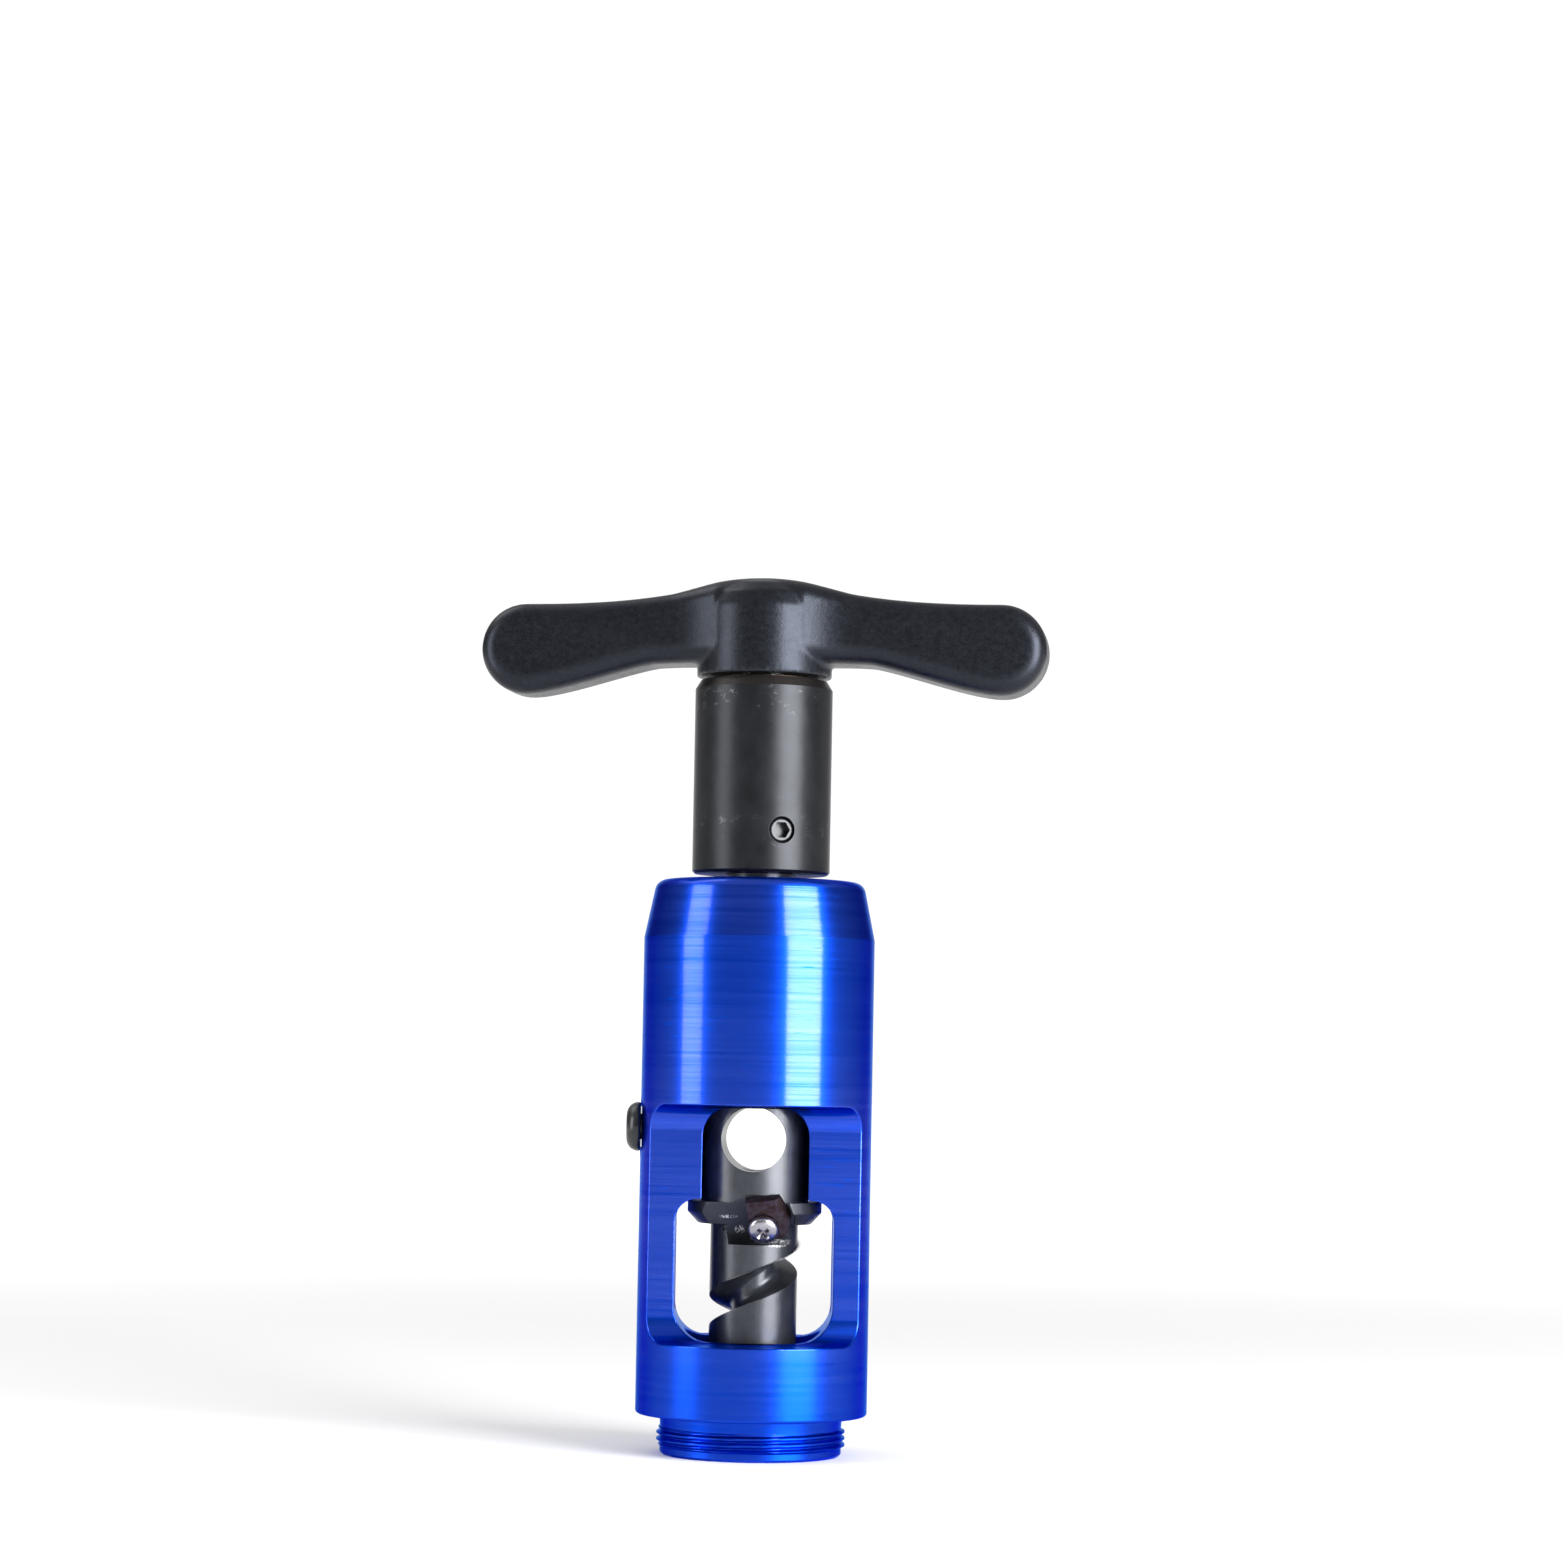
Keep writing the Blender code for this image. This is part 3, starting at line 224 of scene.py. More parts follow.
class Recipe(NodeSheet):
    """A material's node tree while it is made."""

    def __init__(self, name: str) -> None:
        """Start a material with its Principled shader.

        Args:
            name: Name of the material.
        """
        self.material = bpy.data.materials.new(name)
        self.material.use_nodes = True
        super().__init__(self.material.node_tree)
        self.shader = self.tree.nodes["Principled BSDF"]

    def place(self) -> Signal:
        """Return the point on the surface, in metres of the tool's own frame."""
        return self.node("ShaderNodeTexCoord", output="Object")

    def facing(self) -> Signal:
        """Return 0 where the surface faces the viewer and 1 at its rim."""
        return self.node("ShaderNodeLayerWeight", {}, {"Blend": 0.5}, "Facing")

    def axis(self, name: str) -> Signal:
        """Return one coordinate of the point on the surface."""
        return self.node("ShaderNodeSeparateXYZ", {}, {0: self.place()}, name)

    def noise(self, size: float, stretch: Colour = (1, 1, 1), detail: float = 3.0,
              rough: float = 0.55, seed: float = 0.0) -> Signal:
        """Return cloudy noise.

        Args:
            size: Width of its blotches.
            stretch: How much longer they are along each axis.
            detail: Levels of finer noise.
            rough: Strength of the finer noise.
            seed: Offset that makes each use different.

        Returns:
            A value about 0.5.
        """
        scale = tuple(1 / (size * share) for share in stretch)
        place = self.node("ShaderNodeVectorMath", {"operation": "MULTIPLY_ADD"},
                          {0: self.place(), 1: scale, 2: (seed, seed, seed)})
        sockets = {"Vector": place, "Scale": 1.0, "Detail": detail, "Roughness": rough}
        return self.node("ShaderNodeTexNoise", {}, sockets, 0)

    def specks(self, spacing: float, size: float, stretch: Colour = (1, 1, 1)) -> Signal:
        """Return scattered specks.

        Args:
            spacing: Mean distance between them.
            size: Their width as a share of the spacing.
            stretch: How much longer they are along each axis.

        Returns:
            1 in a speck and 0 elsewhere.
        """
        scale = tuple(1 / (spacing * share) for share in stretch)
        place = self.node("ShaderNodeVectorMath", {"operation": "MULTIPLY"},
                          {0: self.place(), 1: scale})
        far = self.node("ShaderNodeTexVoronoi", {}, {"Vector": place, "Scale": 1.0}, "Distance")
        return far.ramp(size, size * 0.5)

    def mix(self, share: Signal | float, first: Signal | Colour, second: Signal | Colour) -> Signal:
        """Blend two colours.

        Args:
            share: 0 for the first colour, 1 for the second.
            first: One colour.
            second: The other colour.

        Returns:
            The blended colour.
        """
        return self.node("ShaderNodeMix", {"data_type": "RGBA"}, {0: share, 6: first, 7: second}, 2)

    def bump(self, height: Signal, depth: float) -> Signal:
        """Return the normal of a height field that is depth metres from 0 to 1."""
        return self.node("ShaderNodeBump", {}, {"Height": height, "Distance": depth}, "Normal")

    def finish(self, constants: dict, varying: dict) -> bpy.types.Material:
        """Set the shader's sockets.

        Args:
            constants: Values that are the same all over, by socket name.
            varying: Signals, by socket name.

        Returns:
            The material.
        """
        for key, value in {**constants, **varying}.items():
            self.feed(self.shader.inputs[key], value)
        self.material.diffuse_color = VIEWPORT_GREY
        return self.material


@dataclass(frozen=True)
class Scrape:
    """A patch where a finish is worn to bright metal."""

    centre: tuple[float, float, float]
    reach: tuple[float, float, float]
    grain: float = 0.00035

    def mask(self, recipe: Recipe) -> Signal:
        """Mark the scraped metal.

        Args:
            recipe: The material that is scraped.

        Returns:
            1 where the metal is bare.
        """
        scale = tuple(1 / reach for reach in self.reach)
        shift = tuple(-middle / reach for middle, reach in zip(self.centre, self.reach))
        place = recipe.node("ShaderNodeVectorMath", {"operation": "MULTIPLY_ADD"},
                            {0: recipe.place(), 1: scale, 2: shift})
        far = recipe.node("ShaderNodeVectorMath", {"operation": "LENGTH"}, {0: place}, "Value")
        marks = recipe.noise(self.grain, (0.7, 0.7, 1.5), detail=2.0)
        return far.ramp(1.0, 0.55) * marks.ramp(0.47, 0.56)


# ---------------------------------------------------------------- finishes


@dataclass(frozen=True)
class AnodisedAluminium:
    """Turned and blue-anodised aluminium: tinted metal under a clear oxide skin."""

    colour: Colour = (0.0, 0.040, 0.46)
    pale: Colour = (0.0, 0.085, 0.75)
    edge_tint: Colour = (0.0, 0.36, 0.95)
    nick: Colour = (0.0, 0.01, 0.06)
    roughness: float = 0.33
    line_pitch: float = 0.00022
    line_depth: float = 0.0000022

    def material(self) -> bpy.types.Material:
        """Mix the skin, with its turning lines, scratches and faint clouding.

        Returns:
            The material.
        """
        recipe = Recipe("blue_anodised_skin")
        lines = recipe.noise(self.line_pitch, (90, 90, 1), detail=2.0)
        coarse = recipe.noise(0.0011, (60, 60, 1), detail=2.0, seed=5.0)
        cloud = recipe.noise(0.009, (1, 1, 2.5), seed=9.0)
        scratches = recipe.noise(0.00045, (14, 14, 1), detail=1.0, seed=3.0).ramp(0.70, 0.76)
        nicks = recipe.specks(0.0085, 0.035, (1.0, 1.0, 1.4))
        turned = (lines - 0.5) * 0.7 + (coarse - 0.5) * 0.8
        shade = (0.30 + turned + (cloud - 0.5) * 0.4).at_least(0.0) * 0.35
        tint = recipe.mix(shade, self.colour, self.pale)
        tint = recipe.mix(scratches * 0.35, tint, self.pale)
        tint = recipe.mix(nicks * 0.8, tint, self.nick)
        return recipe.finish(
            {"Metallic": 1.0, "Anisotropic": 0.55, "Anisotropic Rotation": 0.25,
             "Specular Tint": self.edge_tint, "Coat Roughness": 0.12, "Coat IOR": 1.45},
            {"Base Color": tint,
             "Roughness": self.roughness + turned * 0.16 + scratches * 0.1,
             # The coat is thinned at the rim, a painted darkening of the silhouette, and towards the
             # nose, painted shade that dims the lower reflections.
             "Coat Weight": (0.78 + turned * 2.0 - scratches * 0.5 - nicks).ramp(-0.2, 1.3)
                            * (1 - recipe.facing().ramp(0.22, 0.62) * 0.85)
                            * (0.35 + recipe.axis("Z").ramp(0.012, 0.045) * 0.65),
             "Normal": recipe.bump(lines, self.line_depth)})


@dataclass(frozen=True)
class BlueEdgeWearAndHighlight:
    """Fine edge broken by hand, where the blue skin is thin and bright: partly real wear, partly a
    painted highlight along the edge.
    """

    colour: Colour = (0.12, 0.42, 1.0)
    worn: Colour = (0.60, 0.78, 1.0)

    def material(self) -> bpy.types.Material:
        """Mix the edge, a brighter blue that is partly a painted highlight, brighter still in patches.

        Returns:
            The material.
        """
        # The brighter blue on every eased edge is partly wear and partly a painted highlight.
        recipe = Recipe("blue_edge_wear_and_highlight")
        wear = recipe.noise(0.0022, seed=2.0).ramp(0.42, 0.68)
        return recipe.finish(
            {"Metallic": 1.0, "Coat Roughness": 0.2},
            {"Base Color": recipe.mix(wear, self.colour, self.worn),
             "Roughness": 0.26 + wear * 0.12,
             "Coat Weight": 0.7 - wear * 0.4})


@dataclass(frozen=True)
class BlackOxide:
    """Blackened steel with an oiled sheen, faint machining streaks and worn spots."""

    name: str
    colour: Colour = (0.030, 0.033, 0.042)
    bare: Colour = (0.50, 0.50, 0.54)
    specular: float = 0.5
    metallic: float = 0.55
    roughness: float = 0.35
    streak: Colour = (1, 1, 9)
    wear: float = 0.2
    scrapes: tuple[Scrape, ...] = ()

    def material(self) -> bpy.types.Material:
        """Mix the oxide, with its streaks, dust and scrapes.

        Returns:
            The material.
        """
        recipe = Recipe(self.name)
        streaks = recipe.noise(0.00030, self.streak, detail=2.0)
        cloud = recipe.noise(0.0035, seed=4.0)
        grain = recipe.noise(0.00018, detail=2.0, seed=8.0)
        dust = recipe.specks(0.0021, 0.055) * cloud.ramp(0.45, 0.62)
        bare = dust * self.wear
        for scrape in self.scrapes:
            bare = bare.at_least(scrape.mask(recipe))
        tone = (cloud * 0.6 + streaks * 0.6 - 0.15).at_least(0.0)
        tint = recipe.mix(tone, tuple(part * 0.55 for part in self.colour),
                          tuple(part * 1.6 for part in self.colour))
        return recipe.finish(
            {"Metallic": self.metallic, "Specular IOR Level": self.specular,
             "Coat Roughness": 0.28},
            {"Base Color": recipe.mix(bare, tint, self.bare),
             "Roughness": self.roughness + (cloud - 0.5) * 0.22 + (streaks - 0.5) * 0.2,
             "Coat Weight": (0.35 + (cloud - 0.5) * 0.4) * (2 * self.specular),
             "Normal": recipe.bump(streaks * 0.7 + grain * 0.3 + bare * 0.6, 0.000006)})


@dataclass(frozen=True)
class WornSteelEdge:
    """Edge of a blackened piece, rubbed towards bare steel."""

    name: str
    colour: Colour = (0.07, 0.072, 0.08)
    bare: Colour = (0.42, 0.43, 0.46)
    amount: float = 0.5

    def material(self) -> bpy.types.Material:
        """Mix the edge, bare in short stretches.

        Returns:
            The material.
        """
        recipe = Recipe(self.name)
        wear = recipe.noise(0.0014, detail=4.0, rough=0.65, seed=6.0).ramp(0.46, 0.62)
        return recipe.finish(
            {"Metallic": 1.0},
            {"Base Color": recipe.mix(wear * self.amount, self.colour, self.bare),
             "Roughness": 0.28 + wear * 0.12})


@dataclass(frozen=True)
class CollarOxide:
    """Satin blue-grey blackened steel, scuffed, with a browner chamfer."""

    chamfer_start: float
    scuff_heights: tuple[float, ...]
    colour: Colour = (0.017, 0.0185, 0.022)
    brown: Colour = (0.022, 0.018, 0.016)
    scuff: Colour = (0.13, 0.132, 0.145)
    scuff_fall: float = 90000.0
    chamfer_blend: float = 0.00005
    roughness: float = 0.40

    def material(self) -> bpy.types.Material:
        """Mix the oxide, with its turning rings, scuffs and chamfer.

        Returns:
            The material.
        """
        recipe = Recipe("collar_oxide")
        height = recipe.axis("Z")
        rings = recipe.noise(0.00020, (80, 80, 1), detail=2.0)
        cloud = recipe.noise(0.004, (1, 1, 1.6), detail=4.0, seed=7.0)
        rubbed = recipe.noise(0.0011, (1.6, 1.6, 1.0), detail=5.0, rough=0.7, seed=1.0)
        marks = rubbed.ramp(0.64, 0.78) * 0.25
        for index, middle in enumerate(self.scuff_heights):
            band = ((height - middle) * (height - middle) * -self.scuff_fall + 1.0).at_least(0.0)
            patch = recipe.noise(0.0034, seed=11.0 + index).ramp(0.50, 0.62)
            marks = marks.at_least(band * patch * rubbed.ramp(0.52, 0.64) * 0.6)
        tone = (cloud * 0.9 + rings * 0.3 - 0.3).at_least(0.0)
        tint = recipe.mix(tone, tuple(part * 0.62 for part in self.colour),
                          tuple(part * 1.45 for part in self.colour))
        tint = recipe.mix(marks, tint, self.scuff)
        chamfer = height.ramp(self.chamfer_start - self.chamfer_blend,
                              self.chamfer_start + self.chamfer_blend)
        tint = recipe.mix(chamfer * (0.55 + cloud * 0.5), tint, self.brown)
        return recipe.finish(
            {"Metallic": 0.8, "Anisotropic": 0.4, "Anisotropic Rotation": 0.25,
             "Coat Roughness": 0.34},
            {"Base Color": tint,
             "Roughness": self.roughness + (cloud - 0.5) * 0.16 - marks * 0.08,
             "Coat Weight": 0.12 + (cloud - 0.5) * 0.2,
             "Normal": recipe.bump(rings * 0.5 + rubbed * 0.5, 0.000006)})


@dataclass(frozen=True)
class GlassFilledNylon:
    """Black moulded nylon: a pebbled, slightly greasy grain with glass fibres near its skin."""

    colour: Colour = (0.0012, 0.0013, 0.0016)
    pale: Colour = (0.0070, 0.0075, 0.0100)
    sheen: Colour = (0.72, 0.80, 1.0)
    roughness: float = 0.34
    grain: float = 0.00042
    grain_depth: float = 0.000034

    def material(self) -> bpy.types.Material:
        """Mix the nylon, with its pebbled grain and fibres.

        Returns:
            The material.
        """
        recipe = Recipe("black_nylon_skin")
        grain = recipe.noise(self.grain, detail=2.0, rough=0.6)
        blotch = recipe.noise(0.0010, (1.3, 1, 1), detail=3.0, rough=0.6, seed=3.0)
        cloud = recipe.noise(0.012, seed=5.0)
        fibres = recipe.noise(0.00025, (5, 2, 1), detail=1.0, seed=8.0).ramp(0.66, 0.75)
        tone = grain.ramp(0.30, 0.75) * 0.5 + blotch.ramp(0.30, 0.80) * 0.3
        tint = recipe.mix(tone + fibres * 0.25, self.colour, self.pale)
        rough = self.roughness + (blotch - 0.5) * 0.22 + (cloud - 0.5) * 0.12
        return recipe.finish(
            {"Metallic": 0.0, "IOR": 1.38, "Specular Tint": self.sheen},
            {"Base Color": tint,
             "Roughness": rough.at_least(0.22),
             "Normal": recipe.bump(grain * 0.7 + blotch * 0.3, self.grain_depth)})


@dataclass(frozen=True)
class HeatTintedBlade:
    """Tool steel with a brown-violet heat tint and fine grinding lines."""

    colour: Colour = (0.030, 0.017, 0.017)
    violet: Colour = (0.050, 0.038, 0.052)
    rust: Colour = (0.12, 0.035, 0.028)

    def material(self) -> bpy.types.Material:
        """Mix the tint, with its clouds, rust spots and grinding lines.

        Returns:
            The material.
        """
        recipe = Recipe("blade_heat_tint")
        cloud = recipe.noise(0.0022, detail=3.0, seed=2.0)
        lines = recipe.noise(0.00016, (6, 1, 1), detail=1.0)
        tint = recipe.mix(cloud.ramp(0.42, 0.62), self.colour, self.violet)
        spots = recipe.noise(0.0007, detail=3.0, seed=6.0).ramp(0.60, 0.70)
        return recipe.finish(
            {"Metallic": 0.85},
            {"Base Color": recipe.mix(spots * 0.5, tint, self.rust),
             "Roughness": 0.36 + (cloud - 0.5) * 0.25,
             "Normal": recipe.bump(lines, 0.000004)})


@dataclass(frozen=True)
class BareMetal:
    """Ground, plated or sintered metal that isn't blackened."""

    name: str
    colour: Colour
    roughness: float
    grime: Colour = (0.12, 0.10, 0.09)
    dirt: float = 0.2
    grain: float = 0.0004
    depth: float = 0.000003

    def material(self) -> bpy.types.Material:
        """Mix the metal, with a little grime and grain.

        Returns:
            The material.
        """
        recipe = Recipe(self.name)
        grime = recipe.noise(0.0016, detail=4.0, seed=4.0).ramp(0.5, 0.75)
        grain = recipe.noise(self.grain, (1, 1, 3), detail=2.0)
        return recipe.finish(
            {"Metallic": 1.0},
            {"Base Color": recipe.mix(grime * self.dirt, self.colour, self.grime),
             "Roughness": self.roughness + grime * 0.15 + (grain - 0.5) * 0.1,
             "Normal": recipe.bump(grain, self.depth)})


@dataclass(frozen=True)
class PaleNylon:
    """Off-white moulded nylon of the roller cage."""

    colour: Colour = (0.72, 0.69, 0.58)
    shade: Colour = (0.50, 0.46, 0.36)

    def material(self) -> bpy.types.Material:
        """Mix the nylon, a little stained by grease.

        Returns:
            The material.
        """
        recipe = Recipe("cage_nylon_skin")
        stain = recipe.noise(0.002, detail=3.0)
        return recipe.finish(
            {"Metallic": 0.0},
            {"Base Color": recipe.mix(stain, self.colour, self.shade),
             "Roughness": 0.45 + (stain - 0.5) * 0.2,
             "Normal": recipe.bump(recipe.noise(0.0003), 0.000006)})


# ---------------------------------------------------------------- mesh building


def rounded(corners: Sequence[Corner], steps: int = 10) -> list[Pair]:
    """Round a closed outline's corners.

    Args:
        corners: The polygon's corners, each with its own radius.
        steps: Straight pieces in each arc.

    Returns:
        The outline's points.
    """
    points: list[Pair] = []
    for index, (x, y, radius) in enumerate(corners):
        corner = Vector((x, y))
        if radius == 0:
            points.append((x, y))
            continue
        before = (Vector(corners[index - 1][:2]) - corner).normalized()
        after = (Vector(corners[(index + 1) % len(corners)][:2]) - corner).normalized()
        half = before.angle(after) / 2
        centre = corner + (before + after).normalized() * radius / math.sin(half)
        start = corner + before * radius / math.tan(half) - centre
        end = corner + after * radius / math.tan(half) - centre
        first = math.atan2(start.y, start.x)
        sweep = (math.atan2(end.y, end.x) - first + math.pi) % math.tau - math.pi
        for step in range(steps + 1):
            angle = first + sweep * step / steps
            points.append(tuple(centre + Vector((math.cos(angle), math.sin(angle))) * radius))
    return points


def quarter(rim: float, crown: float, top: float, drop: float, steps: int) -> list[Pair]:
    """Return a dome's profile from the edge of its flat top down to its rim.

    Args:
        rim: Radius at the rim.
        crown: Radius of the flat top.
        top: Height of the flat top.
        drop: Height from the rim to the top.
        steps: Straight pieces in the arc.

    Returns:
        (radius, height) points, without the one at the crown.
    """
    points = []
    for step in range(1, steps + 1):
        angle = math.pi / 2 * step / steps
        points.append((crown + (rim - crown) * math.sin(angle), top - drop * (1 - math.cos(angle))))
    return points


class Bench:
    """Where meshes are cut and joined before they are dressed."""

    @staticmethod
    def add(name: str, shape: bmesh.types.BMesh, place: Matrix = Matrix()) -> bpy.types.Object:
        """Turn a bmesh into an object whose mesh is already in place.

        Args:
            name: Name of the object.
            shape: The shape, which is freed.
            place: Where it goes.

        Returns:
            The object, at the origin.
        """
        shape.transform(place)
        bmesh.ops.recalc_face_normals(shape, faces=shape.faces)
        mesh = bpy.data.meshes.new(name)
        shape.to_mesh(mesh)
        shape.free()
        obj = bpy.data.objects.new(name, mesh)
        bpy.context.scene.collection.objects.link(obj)
        return obj

    @staticmethod
    def turned(name: str, profile: Sequence[Pair], steps: int = 96, ring: bool = False,
               place: Matrix = Matrix(),
               radius_of: Callable[[float, float, float], float] | None = None
               ) -> bpy.types.Object:
        """Turn a profile about Z.

        Args:
            name: Name of the object.
            profile: (radius, height) points. A radius of 0 is a point on the axis.
            steps: Facets in a turn.
            ring: Whether the profile closes on itself.
            place: Where it goes.
            radius_of: Radius at a profile point and an angle, for a thread.

        Returns:
            The object.
        """
        shape = bmesh.new()
        poles = {i: shape.verts.new((0, 0, z)) for i, (r, z) in enumerate(profile) if r == 0}
        rows = []
        for step in range(steps):
            angle = math.tau * step / steps
            row = []
            for index, (radius, height) in enumerate(profile):
                if index in poles:
                    row.append(poles[index])
                    continue
                reach = radius_of(radius, height, angle) if radius_of else radius
                row.append(shape.verts.new((reach * math.cos(angle), reach * math.sin(angle), height)))
            rows.append(row)
        spans = len(profile) if ring else len(profile) - 1
        for step in range(steps):
            here, there = rows[step], rows[(step + 1) % steps]
            for index in range(spans):
                after = (index + 1) % len(profile)
                loop = [here[index], there[index], there[after], here[after]]
                loop = [v for i, v in enumerate(loop) if v is not loop[i - 1]]
                shape.faces.new(loop)
        return Bench.add(name, shape, place)

    @staticmethod
    def prism(name: str, outline: Sequence[Pair], low: float, high: float,
              place: Matrix = Matrix(), shrink: float = 1.0) -> bpy.types.Object:
        """Extrude a closed outline along Z.

        Args:
            name: Name of the object.
            outline: Points in XY.
            low: Bottom height.
            high: Top height.
            place: Where it goes.
            shrink: Scale of the bottom outline, for a tapered shape.

        Returns:
            The object.
        """
        shape = bmesh.new()
        bottom = [shape.verts.new((x * shrink, y * shrink, low)) for x, y in outline]
        top = [shape.verts.new((x, y, high)) for x, y in outline]
        shape.faces.new(bottom)
        shape.faces.new(top)
        for index in range(len(outline)):
            shape.faces.new([bottom[index - 1], bottom[index], top[index], top[index - 1]])
        return Bench.add(name, shape, place)

    @staticmethod
    def rod(name: str, radius: float, low: float, high: float, sides: int = 64,
            place: Matrix = Matrix()) -> bpy.types.Object:
        """Make a cylinder or a regular prism along Z.

        Args:
            name: Name of the object.
            radius: Distance from the axis to the corners.
            low: Bottom height.
            high: Top height.
            sides: Number of flat sides.
            place: Where it goes.

        Returns:
            The object.
        """
        outline = [(radius * math.cos(math.tau * i / sides), radius * math.sin(math.tau * i / sides))
                   for i in range(sides)]
        return Bench.prism(name, outline, low, high, place)

    @staticmethod
    def bake(obj: bpy.types.Object) -> None:
        """Apply an object's modifiers.

        Args:
            obj: The object.
        """
        bpy.context.view_layer.update()
        graph = bpy.context.evaluated_depsgraph_get()
        mesh = bpy.data.meshes.new_from_object(obj.evaluated_get(graph))
        obj.modifiers.clear()
        obj.data = mesh

    @staticmethod
    def carve(target: bpy.types.Object, *tools: bpy.types.Object,
              operation: str = "DIFFERENCE") -> None:
        """Cut the tools from the target, or join them to it, and remove the tools.

        Args:
            target: The object that is kept.
            tools: The objects that cut it or join it.
            operation: DIFFERENCE to cut, UNION to join.
        """
        for tool in tools:
            modifier = target.modifiers.new(tool.name, "BOOLEAN")
            modifier.operation = operation
            modifier.object = tool
            modifier.solver = "EXACT"
        Bench.bake(target)
        for tool in tools:
            bpy.data.objects.remove(tool, do_unlink=True)

    @staticmethod
    def ease(obj: bpy.types.Object, width: float, angle: float = SHARP_ANGLE, segments: int = 2,
             wanted: Callable[[Vector], bool] | None = None) -> None:
        """Round off a mesh's sharp edges. The new faces take the second material.

        Args:
            obj: The object.
            width: Width of the rounding.
            angle: Smallest angle between faces that counts as an edge.
            segments: Faces across the rounding.
            wanted: Which edges to take, by their middle.
        """
        shape = bmesh.new()
        shape.from_mesh(obj.data)
        bmesh.ops.remove_doubles(shape, verts=shape.verts, dist=MERGE_DISTANCE)
        bmesh.ops.dissolve_limit(shape, angle_limit=FLAT_ANGLE, verts=shape.verts,
                                 edges=shape.edges, use_dissolve_boundaries=False)
        edges = []
        for edge in shape.edges:
            middle = (edge.verts[0].co + edge.verts[1].co) / 2
            sharp = edge.is_manifold and edge.calc_face_angle(0.0) > angle
            if sharp and (wanted is None or wanted(middle)):
                edges.append(edge)
        bmesh.ops.bevel(shape, geom=edges, offset=width, offset_type="OFFSET", segments=segments,
                        profile=0.5, affect="EDGES", clamp_overlap=False, material=1)
        shape.to_mesh(obj.data)
        shape.free()

    @staticmethod
    def shade(obj: bpy.types.Object, angle: float = SHARP_ANGLE) -> None:
        """Shade smooth between faces at less than an angle, with flat faces kept flat.

        Args:
            obj: The object.
            angle: Smallest angle between faces that stays sharp.
        """
        obj.data.shade_smooth()
        obj.data.set_sharp_from_angle(angle=angle)
        weigh = obj.modifiers.new("weigh_normals", "WEIGHTED_NORMAL")
        weigh.keep_sharp = True
        weigh.weight = 80

    @staticmethod
    def shade_turned(obj: bpy.types.Object) -> None:
        """Shade a piece that is turned about Z, with true normals on its long turned faces.

        Args:
            obj: The object, whose modifiers are applied.
        """
        Bench.shade(obj)
        Bench.bake(obj)
        mesh = obj.data
        normals = [corner.vector.copy() for corner in mesh.corner_normals]
        for face in mesh.polygons:
            flat = Vector((face.normal.x, face.normal.y, 0))
            radial = Vector((face.center.x, face.center.y, 0))
            heights = [mesh.vertices[index].co.z for index in face.vertices]
            if abs(face.normal.z) > 0.25 or max(heights) - min(heights) < LONG_FACE:
                continue
            if abs(flat.normalized().dot(radial.normalized())) < math.cos(TURNED_ANGLE):
                continue
            side = flat.length if flat.dot(radial) > 0 else -flat.length
            for corner in face.loop_indices:
                point = mesh.vertices[mesh.loops[corner].vertex_index].co
                out = Vector((point.x, point.y, 0)).normalized() * side
                normals[corner] = Vector((out.x, out.y, face.normal.z))
        mesh.normals_split_custom_set(normals)


def dress(obj: bpy.types.Object, materials: Sequence[bpy.types.Material], node: str,
          body: str) -> bpy.types.Object:
    """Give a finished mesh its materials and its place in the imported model.

    Args:
        obj: The finished piece.
        materials: Its materials, the second for eased edges.
        node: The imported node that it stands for.
        body: The body that it rides on.

    Returns:
        The piece.
    """
    obj.data.materials.clear()
    for material in materials:
        obj.data.materials.append(material)
    obj.name = node + "_finished"
    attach(obj, body)
    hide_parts(node)
    LOG.info("%s: %d faces, on %s", obj.name, len(obj.data.polygons), body)
    return obj


# ---------------------------------------------------------------- the tool's pieces


